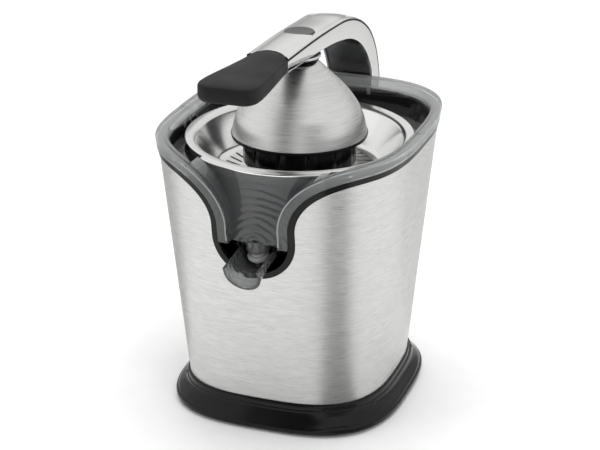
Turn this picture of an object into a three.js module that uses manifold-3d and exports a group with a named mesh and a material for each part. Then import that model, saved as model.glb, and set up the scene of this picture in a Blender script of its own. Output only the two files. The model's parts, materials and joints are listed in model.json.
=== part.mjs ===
// Electric citrus press with a lever arm. Millimetres, +Z up, front towards -Y.
// The origin is on the table, at the middle of the width and depth. Sub-parts are drawn about the
// axis of the juicing cone.
import * as THREE from "three";
import { mergeVertices } from "three/addons/utils/BufferGeometryUtils.js";
import Module from "manifold-3d";

const wasm = await Module();
wasm.setup();

// ---------------------------------------------------------------- driving dimensions
const CENTRE_Y = 2.65; // the cone's axis is this far behind the middle of the depth
const FOOT_H = 2; // rubber feet lift the base this far
const SKIRT_TOP = 21.6; // where the steel shell starts
const SHELL_TOP = 200; // top edge of the steel shell
const WALL_LOW = { a: 77.5, b: 80.2, yc: 0.4, z: 21.6 }; // shell outline at its foot
const WALL_HIGH = { a: 92.3, b: 107.9, yc: 5.3, z: 198 }; // and near its top
const ROUNDNESS = 3.0; // superellipse exponent of the rounded-square outline
const SHELL_T = 1.2;
const TRIM_W = 4.6; // black trim on the shell's edge
const FLANGE_TOP = 212.4;
const FLANGE_OUT = 1.4; // the flange stands out past the shell by this
const GAP = 0.3;

// notch in the front of the shell: round bottom, straight sides, flared shoulders
const NOTCH = { r: 31, zc: 155, zFlare: 163, rx: 50, rz: 37 };

const BOWL_INSET = 4.5; // outside of the juice collector, in from the shell's outside
const BOWL_FLOOR = 150;
const SHELF_Z = 196; // shelf that carries the strainer
const SEAT_R = 80; // round lip that the strainer's rim sits on
const STRAINER_R = 84.4;
const STRAINER_TOP = 202;
const LIP = { r: 88.8, x: 48, z0: 200.2, z1: 201.7 }; // the strainer's rim widens over the panel

const DOME_RIM_Z = 203.7;
const CONE_SKIRT_R = 41.5;

const ARM_W = { front: 15.2, rear: 19 }; // half-widths of the lever arm
const GRIP_TIP = -147;
const GRIP_RISE = 3.4; // degrees that the grip points up towards the front
const COVER_CROWN = 3.4; // top cover's thickness at its middle
const PIVOT = { y: 128.5, z: 186, r: 8.5 }; // lever hinge
const DOME_PIVOT_Z = 268;
const DOME_PIN = 13.9; // half-length of the pin that the dome swings on
const SPOUT_PIVOT = { y: -70, z: 140 };
const SPOUT_W = 13.3; // half-width of the spout
const SPOUT_LIFT = 12; // degrees that close the drain

// gear train: pinion > idler wheel, idler pinion > output wheel
const GEAR_IN = { module: 1.2, pinion: 10, wheel: 30, z0: 96, z1: 102 };
const GEAR_OUT = { module: 1.5, pinion: 10, wheel: 32, z0: 104, z1: 111 };
const IDLER_Y = (GEAR_OUT.module * (GEAR_OUT.pinion + GEAR_OUT.wheel)) / 2;
const MOTOR_X = (GEAR_IN.module * (GEAR_IN.pinion + GEAR_IN.wheel)) / 2;
const PLATE = { z0: 80, z1: 83 }; // gear plate that carries the motor
const DECK_FLOOR = { z0: 114.5, z1: 117 };

const RING_STEPS = 28; // points round the rounded-square pieces

// ---------------------------------------------------------------- materials
const paint = (color, roughness, metalness, more = {}) =>
  new THREE.MeshStandardMaterial({ color, roughness, metalness, ...more });
const steel = paint(0xb9bab8, 0.34, 1);
const polished = paint(0xd8d8d6, 0.08, 1);
const chrome = paint(0xdddddd, 0.06, 1);
const glossBlack = paint(0x151617, 0.25, 0);
const softBlack = paint(0x2e2e2f, 0.6, 0);
const smoke = paint(0x55585a, 0.1, 0, { transparent: true, opacity: 0.55 });
const silicone = paint(0xa8a9aa, 0.5, 0);
const rubber = paint(0x1c1c1d, 0.85, 0);
const nylon = paint(0xe6e2d6, 0.55, 0);
const zinc = paint(0x9b9ea1, 0.4, 1);
const brass = paint(0xb58e48, 0.4, 1);

// ---------------------------------------------------------------- helpers
const root = new THREE.Group();
root.position.y = CENTRE_Y;

function add(name, geometry, material) {
  const mesh = new THREE.Mesh(geometry, material);
  mesh.name = name;
  root.add(mesh);
  return mesh;
}

const vec2 = (x, y) => new THREE.Vector2(x, y);
const vec3 = (x, y, z) => new THREE.Vector3(x, y, z);

// A closed three.js geometry as a manifold solid.
function solid(geometry) {
  const bare = geometry.clone();
  bare.deleteAttribute("normal");
  bare.deleteAttribute("uv");
  const merged = mergeVertices(bare, 1e-4);
  return new wasm.Manifold(
    new wasm.Mesh({
      numProp: 3,
      vertProperties: merged.attributes.position.array,
      triVerts: new Uint32Array(merged.index.array),
    }),
  );
}

// And back to a geometry.
function geometryOf(made) {
  const mesh = made.getMesh();
  const geometry = new THREE.BufferGeometry();
  geometry.setAttribute("position", new THREE.BufferAttribute(mesh.vertProperties, mesh.numProp));
  geometry.setIndex(new THREE.BufferAttribute(mesh.triVerts, 1));
  geometry.computeVertexNormals();
  return geometry;
}

const join = (first, ...rest) => rest.reduce((sum, s) => sum.add(s), first);
const cut = (first, ...rest) => rest.reduce((left, s) => left.subtract(s), first);

// A solid of revolution about a vertical axis through x, y. Profile points are [radius, height],
// anticlockwise, or from axis to axis.
function turned(profile, steps, x = 0, y = 0) {
  const points = profile.map(([r, h]) => vec2(r, h));
  const first = profile[0];
  const last = profile[profile.length - 1];
  if (first[0] > 0 || last[0] > 0) points.push(vec2(...first));
  return solid(new THREE.LatheGeometry(points, steps).rotateX(Math.PI / 2).translate(x, y, 0));
}

const disc = (r, z0, z1, steps, x = 0, y = 0) =>
  turned([[0, z0], [r, z0], [r, z1], [0, z1]], steps, x, y);

// A cylinder along X.
function rod(r, x0, x1, y, z, steps = 16) {
  const made = new THREE.CylinderGeometry(r, r, x1 - x0, steps);
  return solid(made.rotateZ(Math.PI / 2).translate((x0 + x1) / 2, y, z));
}

function block(x0, x1, y0, y1, z0, z1) {
  const made = new THREE.BoxGeometry(x1 - x0, y1 - y0, z1 - z0);
  return solid(made.translate((x0 + x1) / 2, (y0 + y1) / 2, (z0 + z1) / 2));
}

// A shape drawn as seen from the front, in x and z, pushed from y0 back to y1.
function frontPrism(shape, y0, y1, curveSegments = 8) {
  const made = new THREE.ExtrudeGeometry(shape, {
    depth: y1 - y0,
    bevelEnabled: false,
    curveSegments,
  });
  return solid(made.rotateX(Math.PI / 2).translate(0, y1, 0));
}

// A shape drawn as seen from above, in x and y, raised from z0 to z1.
function plate(shape, z0, z1, curveSegments = 10) {
  const made = new THREE.ExtrudeGeometry(shape, {
    depth: z1 - z0,
    bevelEnabled: false,
    curveSegments,
  });
  return solid(made.translate(0, 0, z0));
}

// Triangles that close a flat ring of points, wound the same way round as the ring.
function capOf(ring) {
  const size = new THREE.Box3().setFromPoints(ring).getSize(vec3());
  const thin = Math.min(size.x, size.y, size.z);
  const [u, v] = ["x", "y", "z"].filter((key) => size[key] > thin);
  const flat = ring.map((p) => vec2(p[u], p[v]));
  if (THREE.ShapeUtils.isClockWise(flat)) flat.forEach((p) => p.setX(-p.x));
  return THREE.ShapeUtils.triangulateShape(flat, []);
}

// A closed skin over rings of points, with flat ends. Every ring has as many points as the first.
function loft(rings) {
  const count = rings[0].length;
  const points = rings.flat();
  const faces = [];
  for (let i = 0; i + 1 < rings.length; i++)
    for (let j = 0; j < count; j++) {
      const a = i * count + j;
      const b = i * count + ((j + 1) % count);
      faces.push(a, b, b + count, a, b + count, a + count);
    }
  const last = points.length - count;
  for (const [a, b, c] of capOf(rings[0])) faces.push(c, b, a);
  for (const [a, b, c] of capOf(rings[rings.length - 1])) faces.push(last + a, last + b, last + c);
  let volume = 0;
  for (let i = 0; i < faces.length; i += 3) {
    const [p, q, r] = faces.slice(i, i + 3).map((k) => points[k]);
    volume += p.dot(q.clone().cross(r));
  }
  if (volume < 0) faces.reverse();
  const geometry = new THREE.BufferGeometry().setFromPoints(points);
  geometry.setIndex(faces);
  return solid(geometry);
}

// ---------------------------------------------------------------- the rounded-square outline
function wallAt(z) {
  const k = (z - WALL_LOW.z) / (WALL_HIGH.z - WALL_LOW.z);
  const mix = (key) => WALL_LOW[key] + k * (WALL_HIGH[key] - WALL_LOW[key]);
  return { a: mix("a"), b: mix("b"), yc: mix("yc") };
}

function outline(a, b, yc, z, steps = RING_STEPS) {
  return Array.from({ length: steps }, (_, i) => {
    const t = (i / steps) * 2 * Math.PI;
    const c = Math.cos(t);
    const s = Math.sin(t);
    const r = (Math.abs(c / a) ** ROUNDNESS + Math.abs(s / b) ** ROUNDNESS) ** (-1 / ROUNDNESS);
    return vec3(r * c, r * s + yc, z);
  });
}

// The ring at height z, a given distance in from the shell's outside.
function wallRing(z, inset) {
  const { a, b, yc } = wallAt(z);
  return outline(a - inset, b - inset, yc, z);
}

const wallSolid = (inset, z0, z1) =>
  loft([z0, (z0 + z1) / 2, z1].map((z) => wallRing(z, inset)));
const wallTube = (out, inner, z0, z1) =>
  cut(wallSolid(out, z0, z1), wallSolid(inner, z0 - 1, z1 + 1));

// Edge of the front notch, offset inwards by d: everything above it, as seen from the front.
function notchShape(d) {
  const { r, zc, zFlare, rx, rz } = NOTCH;
  const shape = new THREE.Shape();
  const side = 140;
  const roof = 260;
  shape.moveTo(-side, roof);
  shape.lineTo(-side, zFlare + rz + d);
  shape.lineTo(-r - rx, zFlare + rz + d);
  for (let i = 1; i <= 6; i++) {
    const t = (Math.PI / 2) * (1 - i / 6);
    shape.lineTo(-r - rx + (rx + d) * Math.cos(t), zFlare + (rz + d) * Math.sin(t));
  }
  shape.absarc(0, zc, r - d, Math.PI, 2 * Math.PI, false);
  for (let i = 0; i <= 6; i++) {
    const t = (Math.PI / 2) * (i / 6);
    shape.lineTo(r + rx - (rx + d) * Math.cos(t), zFlare + (rz + d) * Math.sin(t));
  }
  shape.lineTo(side, zFlare + rz + d);
  shape.lineTo(side, roof);
  return shape;
}

// Everything above the shell's top edge, notch included.
function above(d) {
  const front = frontPrism(notchShape(d), -170, 6);
  return front.add(block(-140, 140, 5, 170, SHELL_TOP + d, 260));
}

// ---------------------------------------------------------------- base
function baseSkirt() {
  const foot = { a: 88.2, b: 92, yc: 2 };
  const ring = (inset, z) => outline(foot.a - inset, foot.b - inset, foot.yc, z);
  const outer = loft([
    ring(0.8, FOOT_H),
    ring(0, FOOT_H + 1),
    ring(0, 6),
    ring(1.2, 7.5),
    ring(7.2, 16.5),
    wallRing(17.6, -1.6),
    wallRing(SKIRT_TOP - GAP, -1.4),
  ]);
  const inner = loft([ring(3.5, 0), ring(3.5, 6), ring(10.5, 16), wallRing(17.2, 2), wallRing(30, 2)]);
  const bosses = SCREW_AT.map(([, x, y]) => disc(4.6, 5.6, 16, 10, x, y));
  const holes = SCREW_AT.map(([, x, y]) => disc(2, 0, 14, 10, x, y));
  return cut(join(cut(outer, inner), ...bosses), ...holes);
}

const FOOT_AT = [
  ["front_left", -58, -58],
  ["front_right", 58, -58],
  ["rear_left", -58, 62],
  ["rear_right", 58, 62],
];

const SCREW_AT = [
  ["front_left", -71, -46],
  ["front_right", 71, -46],
  ["rear_left", -71, 50],
  ["rear_right", 71, 50],
];

function basePlate() {
  const made = loft([
    outline(84.2, 88, 2, 3.2),
    outline(84.2, 88, 2, 5.2),
  ]);
  const holes = FOOT_AT.map(([, x, y]) => disc(3.6, 0, 10, 12, x, y));
  const screwHoles = SCREW_AT.map(([, x, y]) => disc(2, 0, 10, 10, x, y));
  return cut(made, ...holes, ...screwHoles);
}

const foot = (x, y) =>
  turned([[0, 0], [8, 0], [9, 1], [9, 2.9], [3.3, 2.9], [3.3, 6.4], [0, 6.4]], 12, x, y);

// Pan-head screw, head down, tip up.
const screw = (x, y, z, length, r = 1.6) =>
  turned([[0, z], [r * 1.7, z], [r * 2, z + 0.8], [r * 2, z + 1.8], [r, z + 1.8], [r, z + length],
    [0, z + length + r]], 8, x, y);

// ---------------------------------------------------------------- shell, trim, deck
const housingShell = () => cut(wallTube(0, SHELL_T, SKIRT_TOP, SHELL_TOP + 4), above(0));

const trim = () =>
  wallTube(-0.7, 3.2, 118, 220).intersect(above(GAP)).subtract(above(TRIM_W));

const TURRET = { r: 19, top: 166 };

function deck() {
  const tub = cut(wallSolid(1.9, DECK_FLOOR.z0, 197), wallSolid(3.8, DECK_FLOOR.z1, 230));
  const open = cut(tub, above(0));
  const turret = turned(
    [[10, DECK_FLOOR.z0], [24, DECK_FLOOR.z0], [24, DECK_FLOOR.z1], [TURRET.r, 122],
      [TURRET.r, TURRET.top], [10, TURRET.top]], 24);
  const bored = cut(open, disc(20, 100, 140, 24));
  const posts = POSTS.map(([x, y]) => disc(4.2, 104, DECK_FLOOR.z0 + 1, 10, x, y));
  const holes = POSTS.map(([x, y]) => disc(1.9, 100, 112, 8, x, y));
  return cut(join(bored, turret, ...posts), ...holes);
}

// ---------------------------------------------------------------- juice collector and spout
const VEE = TRIM_W + 7.5; // from the notch's edge to the fold beside the pouring panel
const FUNNEL = { r0: 93, z0: 140, r1: 86.2, z1: 200 }; // the panel between the folds
const DRAIN = { y: -86, r: 6, z: 144.2 };
const EAR_X = 19.2; // the spout's pin is carried by two ears this far out
const PANEL_TOP = 199.4;
const FLANGE_IN = 6; // inner edge of the flange, in from the shell's outside
const CORNER_TOP = 203; // the panel's side walls stop here, inside of the flange

// Space in front of the pouring panel, between the folds; t is the panel's thickness so far.
function scoop(t) {
  const { r0, z0, r1, z1 } = FUNNEL;
  const slope = (r1 - r0) / (z1 - z0);
  const cone = turned([[0, 120], [r0 - t - 20 * slope, 120], [r1 - t + 20 * slope, 220], [0, 220]], 32);
  return cut(frontPrism(notchShape(VEE - t), -170, 0), cone);
}

function collector() {
  const foldCut = frontPrism(notchShape(VEE), -170, 0);
  const overPanel = foldCut.intersect(block(-140, 140, -170, 0, PANEL_TOP, 230));
  const outer = cut(wallSolid(BOWL_INSET, BOWL_FLOOR, FLANGE_TOP), scoop(0));
  const well = cut(wallSolid(BOWL_INSET + 2, BOWL_FLOOR + 2.4, 230), scoop(2));
  const lipSpace = disc(LIP.r + 1.2, PANEL_TOP, 230, 40)
    .intersect(block(-LIP.x - 1.2, LIP.x + 1.2, -170, 0, 190, 240));
  const rimSpace = disc(STRAINER_R + 1.2, PANEL_TOP, 230, 32).add(lipSpace);
  const corners = wallSolid(BOWL_INSET + 2, CORNER_TOP, 230);
  const tub = cut(outer, well, overPanel, rimSpace, corners, disc(TURRET.r + 1.5, 100, 160, 20));
  const band = wallTube(-FLANGE_OUT, BOWL_INSET + 0.3, BOWL_FLOOR, FLANGE_TOP)
    .intersect(above(TRIM_W + GAP))
    .subtract(foldCut);
  const brimWall = wallTube(-FLANGE_OUT, FLANGE_IN, 188, FLANGE_TOP);
  const brimFront = cut(brimWall.intersect(frontPrism(notchShape(VEE - 4.8), -170, 0)), foldCut, rimSpace);
  const brimRear = brimWall.intersect(block(-140, 140, -0.5, 170, FLANGE_TOP - 4.8, 230));
  const opening = block(-46, 46, -140, 0, 150, 230);
  const shelf = cut(wallSolid(BOWL_INSET + 1, SHELF_Z - 2, SHELF_Z), disc(SEAT_R, 150, 230, 32));
  const seat = turned(
    [[SEAT_R, SHELF_Z - 2], [SEAT_R + 2, SHELF_Z - 2], [SEAT_R + 2, STRAINER_TOP - 2.8],
      [SEAT_R, STRAINER_TOP - 2.8]], 32);
  const tube = turned(
    [[TURRET.r + 1.5, BOWL_FLOOR], [TURRET.r + 3.5, BOWL_FLOOR], [TURRET.r + 3.5, 168.2],
      [TURRET.r + 1.5, 168.2]], 20);
  const nozzle = disc(DRAIN.r + 2.5, DRAIN.z, BOWL_FLOOR + 1, 16, 0, DRAIN.y);
  const ear = (x) => cut(
    block(x - 1.3, x + 1.3, SPOUT_PIVOT.y - 6, SPOUT_PIVOT.y + 6, SPOUT_PIVOT.z - 6, BOWL_FLOOR + 1),
    rod(2.6, x - 3, x + 3, SPOUT_PIVOT.y, SPOUT_PIVOT.z, 12));
  return cut(join(tub, band, brimFront, brimRear, cut(join(shelf, seat), opening), tube, nozzle,
    ear(-EAR_X), ear(EAR_X)), disc(DRAIN.r, 130, BOWL_FLOOR + 2.5, 16, 0, DRAIN.y));
}

// Cross-sections of the spout from its rear wall to its lip: [y, bottom, top, lean of the face].
const SPOUT_RUN = [[-73, 130.5, 144.6, 0], [-90, 129.8, 144.2, 0], [-98, 129.4, 143.4, 0],
  [-106, 126, 142.4, 4], [-111, 123, 141.6, 9.4]];

function spoutSolid(t) {
  const rings = SPOUT_RUN.map(([y, low, high, lean], i) => {
    const w = SPOUT_W - t;
    const round = Math.min(w, (high - low) * 0.8);
    const points = [];
    for (let k = 0; k <= 12; k++) {
      const angle = Math.PI + (k / 12) * Math.PI;
      points.push([w * Math.cos(angle), low + t + round + round * Math.sin(angle)]);
    }
    const roof = high + (t ? 2 : 0);
    const shift = t && i === 0 ? -t : 0;
    const ends = t && i === SPOUT_RUN.length - 1 ? -4 : 0;
    return [[-w, roof], ...points, [w, roof]].map(([x, z]) =>
      vec3(x, y + shift + ends - (lean * (z - low)) / (high - low), z));
  });
  return loft(rings);
}

function spout() {
  const { y, z } = SPOUT_PIVOT;
  const hub = rod(4.2, -16, 16, y, z, 14);
  const post = disc(3, 130.5, 138, 10, 0, DRAIN.y);
  return cut(join(cut(spoutSolid(0), spoutSolid(1.8)), hub, post), rod(2.5, -20, 20, y, z, 12));
}

// The seal sits flat under the drain once the spout is tipped up.
function dripSeal() {
  const closed = turned([[0, -5], [5.4, -5], [7.6, -3], [7.6, -0.3], [4.8, 0], [4.4, 1.2], [0, 1.4]], 16);
  const { y, z } = SPOUT_PIVOT;
  const seated = closed.translate([0, DRAIN.y - y, DRAIN.z - z]);
  return cut(seated.rotate([SPOUT_LIFT, 0, 0]).translate([0, y, z]), disc(3.3, 120, 138.2, 12, 0, DRAIN.y));
}

// ---------------------------------------------------------------- strainer and cone
// Slots in the strainer's floor, which lean away from straight outwards by this many degrees.
const SLOT = { count: 40, r: 50.3, wide: 1.9, long: 13.2, lean: 28 };

function strainer() {
  const top = STRAINER_TOP;
  const dish = turned(
    [[27, 172], [56, 174], [62, 176], [77.4, 199.2], [STRAINER_R - 0.6, 200], [STRAINER_R, 200.6],
      [STRAINER_R, 201.6], [STRAINER_R - 0.8, top], [78.2, top - 0.6], [76, 199.8], [61, 177.2],
      [56, 175.2], [27, 173.2], [25.5, 178.2], [24.3, 178.2], [25.6, 172]], 32);
  const lean = THREE.MathUtils.degToRad(SLOT.lean);
  const slots = Array.from({ length: SLOT.count }, (_, i) => {
    const slot = new THREE.BoxGeometry(SLOT.long, SLOT.wide, 12).rotateZ(-lean);
    return solid(slot.translate(SLOT.r, 0, 174).rotateZ((i / SLOT.count) * 2 * Math.PI));
  });
  const lip = turned([[82, LIP.z0], [LIP.r, LIP.z0], [LIP.r, LIP.z1], [82, LIP.z1]], 40)
    .intersect(block(-LIP.x, LIP.x, -100, 0, 190, 210));
  return cut(join(dish, lip), ...slots);
}

// Black reamer: a ribbed skirt under a lobed cone.
function coneGeometry() {
  const lobes = 10;
  const steps = 40;
  const profile = [[CONE_SKIRT_R, 181], [CONE_SKIRT_R, 199.5], [36, 203.5],
    [27.5, 221], [20.5, 232], [11, 241], [0, 245.3]];
  const points = [[0, 181], ...profile].map(([r, h]) => vec2(r, h));
  const geometry = new THREE.LatheGeometry(points, steps).rotateX(Math.PI / 2);
  const p = geometry.attributes.position;
  for (let i = 0; i < p.count; i++) {
    const [x, y, z] = [p.getX(i), p.getY(i), p.getZ(i)];
    const swell = z > 202 && z < 243 ? 0.06 * Math.cos(lobes * Math.atan2(y, x)) - 0.03 : 0;
    p.setXY(i, x * (1 + swell), y * (1 + swell));
  }
  return geometry;
}

const HEX_R = 5;

function reamerCone() {
  const hollow = turned([[0, 170], [38.5, 170], [38.5, 198], [32, 202], [28, 213], [19.5, 227],
    [10, 236], [0, 236]], 24);
  const hub = disc(9.5, 170, 238, 14);
  return cut(join(cut(solid(coneGeometry()), hollow), hub), disc(HEX_R + GAP, 150, 186, 6));
}

function driveShaft() {
  const round = disc(3.2, 92.8, 103.5, 16);
  const hexLow = disc(HEX_R, 103, 117, 6);
  const shank = disc(5.6, 116.5, 167.6, 16);
  const hexTop = turned([[0, 167], [HEX_R, 167], [HEX_R, 184], [3.5, 185.4], [0, 185.4]], 6);
  return join(round, hexLow, shank, hexTop);
}

const shaftBush = () =>
  turned([[6, 122], [9.7, 122], [9.7, 162], [6, 162]], 20);

const shaftSeal = () =>
  turned([[6, 162.5], [9.6, 162.5], [9.6, 164.5], [7, 166.6], [6, 166.6]], 20);

// ---------------------------------------------------------------- gear train and motor
function gearShape(module, teeth, turn) {
  const shape = new THREE.Shape();
  const pitch = (module * teeth) / 2;
  const root = pitch - 1.2 * module;
  const tip = pitch + 0.8 * module;
  const step = (2 * Math.PI) / teeth;
  for (let i = 0; i < teeth; i++) {
    const t = i * step + turn;
    const corners = [[root, -0.27], [tip, -0.11], [tip, 0.11], [root, 0.27]];
    for (const [r, k] of corners) {
      const at = t + k * step;
      if (i === 0 && k === -0.27) shape.moveTo(r * Math.cos(at), r * Math.sin(at));
      else shape.lineTo(r * Math.cos(at), r * Math.sin(at));
    }
  }
  return shape;
}

// A tooth of the wheel points at the mate's gap: the mate stands at angle toMate from this gear.
function gear({ module, teeth, z0, z1, x = 0, y = 0, toMate, toothAtMate }) {
  const step = (2 * Math.PI) / teeth;
  const turn = toMate + (toothAtMate ? 0 : step / 2);
  return plate(gearShape(module, teeth, turn), z0, z1).translate([x, y, 0]);
}

const MATE_OUT = Math.PI / 2; // from the output wheel to the idler
const MATE_IN = 0; // from the idler to the motor

function outputGear() {
  const wheel = gear({ ...GEAR_OUT, teeth: GEAR_OUT.wheel, toMate: MATE_OUT, toothAtMate: true });
  const boss = disc(9, 103.4, 112.6, 16);
  return cut(join(wheel, boss), disc(HEX_R + GAP, 90, 130, 6));
}

function idlerGear() {
  const wheel = gear({ ...GEAR_IN, teeth: GEAR_IN.wheel, y: IDLER_Y, toMate: MATE_IN, toothAtMate: true });
  const pinion = gear({
    ...GEAR_OUT,
    teeth: GEAR_OUT.pinion,
    y: IDLER_Y,
    toMate: MATE_OUT + Math.PI,
    toothAtMate: false,
  });
  const neck = disc(5, 101, 105, 14, 0, IDLER_Y);
  return cut(join(wheel, neck, pinion), disc(2.4, 80, 120, 12, 0, IDLER_Y));
}

const idlerAxle = () =>
  turned([[0, PLATE.z0 + 0.4], [3.6, PLATE.z0 + 0.4], [3.6, 82.6], [2, 82.6], [2, 113.6], [0, 113.6]],
    12, 0, IDLER_Y);

function motorPinion() {
  const wheel = gear({
    ...GEAR_IN,
    teeth: GEAR_IN.pinion,
    x: MOTOR_X,
    y: IDLER_Y,
    toMate: MATE_IN + Math.PI,
    toothAtMate: false,
  });
  return cut(wheel, disc(1.9, 80, 120, 10, MOTOR_X, IDLER_Y));
}

const motorRotor = () =>
  turned([[0, 26], [1.6, 26], [1.6, 32], [6, 32], [6, 40], [17, 40], [17, 68], [4, 68], [4, 72],
    [1.6, 72], [1.6, 103.5], [0, 103.5]], 16, MOTOR_X, IDLER_Y);

const motorCan = () =>
  turned([[22.5, 29], [24.5, 29], [24.5, 77], [22, 79.5], [2.2, 79.5], [2.2, 76], [19.5, 76],
    [22.5, 73]], 20, MOTOR_X, IDLER_Y);

const motorEndCap = () =>
  turned([[0, 22], [8, 22], [10, 24], [22, 24], [22, 33], [19, 33], [19, 28], [5, 28], [5, 30],
    [2.1, 30], [2.1, 25.5], [0, 25.5]], 20, MOTOR_X, IDLER_Y);

const POSTS = [[-34, -22], [34, -22], [-34, 54], [50, 54]];
const CARRIER = { sleeve: 8.5, r: 8.1 };

function gearPlate() {
  const shape = new THREE.Shape();
  shape.moveTo(-40, -28);
  shape.lineTo(40, -28);
  shape.lineTo(56, 48);
  shape.lineTo(56, 60);
  shape.lineTo(-40, 60);
  const base = plate(shape, PLATE.z0, PLATE.z1);
  const posts = POSTS.map(([x, y]) => disc(4.2, PLATE.z0, 103.6, 10, x, y));
  const sleeve = turned([[CARRIER.sleeve, PLATE.z0], [10.6, PLATE.z0], [10.6, 88.5],
    [CARRIER.sleeve, 88.5]], 14);
  const rest = turned([[12, PLATE.z0], [13.6, PLATE.z0], [13.6, 103.6], [12, 103.6]], 14);
  const tabSlot = block(-30, -8, -4.2, 4.2, 88.6, 98);
  const wheelSlot = block(-14, 14, 8, 20, 94, 110);
  const holes = POSTS.map(([x, y]) => disc(1.9, 70, 110, 8, x, y));
  return cut(join(base, ...posts, sleeve, rest),
    tabSlot,
    wheelSlot,
    ...holes,
    disc(4, 70, 90, 12, MOTOR_X, IDLER_Y),
    disc(2.3, 70, 90, 12, 0, IDLER_Y),
    disc(3.9, 70, PLATE.z1 - 0.1, 12, 0, IDLER_Y));
}

// Sliding cup under the shaft: it does not turn, and its tab works the start switch.
function pressCarrier() {
  const cup = turned([[5.8, 86.5], [CARRIER.r, 86.5], [CARRIER.r, 92], [11, 92.3], [11, 95.6],
    [3.6, 95.6], [3.6, 92.6], [0, 92.6], [0, 91.6], [5.8, 91.6]], 16);
  return join(cup, block(-22, -9, -3.5, 3.5, 92.3, 94.3));
}

const switchActuator = () => disc(1.3, 86.6, 92.1, 10, -18, 0);

const startSwitch = () =>
  cut(block(-25, -14, -3.2, 3.2, PLATE.z1 + GAP, 88.9), disc(1.8, 80, 95, 10, -18, 0));

// Round-wire compression spring.
function spring(radius, wire, z0, z1, turns) {
  class Helix extends THREE.Curve {
    getPoint(t, target = vec3()) {
      const angle = t * turns * 2 * Math.PI;
      const rise = THREE.MathUtils.clamp((t - 0.12) / 0.76, 0, 1);
      const ends = wire * 1.1;
      return target.set(radius * Math.cos(angle), radius * Math.sin(angle),
        z0 + ends + (z1 - z0 - 2 * ends) * (0.12 * t + 0.88 * rise));
    }
  }
  const section = new THREE.Shape();
  for (let i = 0; i < 5; i++) {
    const t = (i / 5) * 2 * Math.PI;
    if (i) section.lineTo(wire * Math.cos(t), wire * Math.sin(t));
    else section.moveTo(wire, 0);
  }
  const made = new THREE.ExtrudeGeometry(section, {
    steps: Math.round(turns * 10),
    extrudePath: new Helix(),
    bevelEnabled: false,
  });
  return solid(made);
}

// ---------------------------------------------------------------- cord inlet
const GLAND = { z: 36, tilt: Math.atan2(WALL_HIGH.b + WALL_HIGH.yc - WALL_LOW.b - WALL_LOW.yc,
  WALL_HIGH.z - WALL_LOW.z) };

// A turned piece with its axis square to the rear wall, the origin on the wall's outside.
function throughRearWall(profile, steps) {
  const { b, yc } = wallAt(GLAND.z);
  const made = new THREE.LatheGeometry(profile.map(([r, h]) => vec2(r, h)), steps);
  return solid(made.rotateX(-GLAND.tilt).translate(0, b + yc, GLAND.z));
}

const cordGland = () =>
  throughRearWall([[3.6, -7], [8.6, -7], [8.6, -1.9], [5.8, -1.9], [5.8, 0.6], [8.6, 0.6], [8.6, 3],
    [7, 6], [3.6, 6], [3.6, -7]], 16);

const glandHole = () => throughRearWall([[0, -8], [6.2, -8], [6.2, 8], [0, 8]], 16);

// ---------------------------------------------------------------- lever arm
// Outside and inside edges of the arm as seen from the side, as [y, z].
const ARM_OUTER = new THREE.SplineCurve([[-66, 276.3], [-13, 275.4], [34, 273.4], [60, 271.4], [82, 266.4],
  [101, 257.6], [115, 246.5], [126, 231], [133, 213], [136.6, 196], [137.3, 182]].map((p) => vec2(...p)));
const ARM_INNER = new THREE.SplineCurve([[-66, 267.6], [-13, 264.8], [26, 262.2], [52, 258.8], [70, 255],
  [86, 248.5], [99, 239.5], [110, 227], [117, 214.5], [119.7, 199], [119.7, 182]].map((p) => vec2(...p)));
const ARM_STATIONS = 14;

// Cross-section frame at share t along the arm: edge points, outward direction and half-width.
function armAt(t) {
  const outer = ARM_OUTER.getPoint(t);
  const inner = ARM_INNER.getPoint(t);
  const out = outer.clone().sub(inner).normalize();
  const width = THREE.MathUtils.lerp(ARM_W.front, ARM_W.rear, THREE.MathUtils.smoothstep(t, 0.1, 0.8));
  return { outer, inner, out, width };
}

// A bar along the arm. section(frame) gives corners as [x, distance outwards from an edge, edge].
function armBar(t0, t1, section, stations = ARM_STATIONS) {
  const rings = [];
  for (let i = 0; i <= stations; i++) {
    const frame = armAt(t0 + ((t1 - t0) * i) / stations);
    rings.push(section(frame).map(([x, d, edge]) => {
      const at = frame[edge].clone().addScaledVector(frame.out, d);
      return vec3(x, at.x, at.y);
    }));
  }
  return loft(rings);
}

const box = (x, d0, d1) => [[-x, d0, "inner"], [x, d0, "inner"], [x, d1, "outer"], [-x, d1, "outer"]];

// Where the grip meets the arm.
const GRIP_JOINT = { x: 15.5, y: -66, z: 270, pull: -50 }; // the rear edge is an arc, seen from above

// Turned up about the grip's rear end.
const raised = (made) =>
  made.translate([0, -GRIP_JOINT.y, -GRIP_JOINT.z]).rotate([-GRIP_RISE, 0, 0])
    .translate([0, GRIP_JOINT.y, GRIP_JOINT.z]);

// Everything on one side of that arc, from y up to or back to it.
function gripSide(y, gap) {
  const { x, y: end, pull } = GRIP_JOINT;
  const shape = new THREE.Shape();
  shape.moveTo(-30, y);
  shape.lineTo(-30, end + gap);
  shape.lineTo(-x, end + gap);
  shape.quadraticCurveTo(0, pull + gap, x, end + gap);
  shape.lineTo(30, end + gap);
  shape.lineTo(30, y);
  return raised(plate(shape, 240, 310));
}

const gripRoom = () => gripSide(-170, GAP); // what the arm's pieces leave clear

const TONGUE = { x: 9, y: -112, z0: 267.8, z1: 273.2 };

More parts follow.
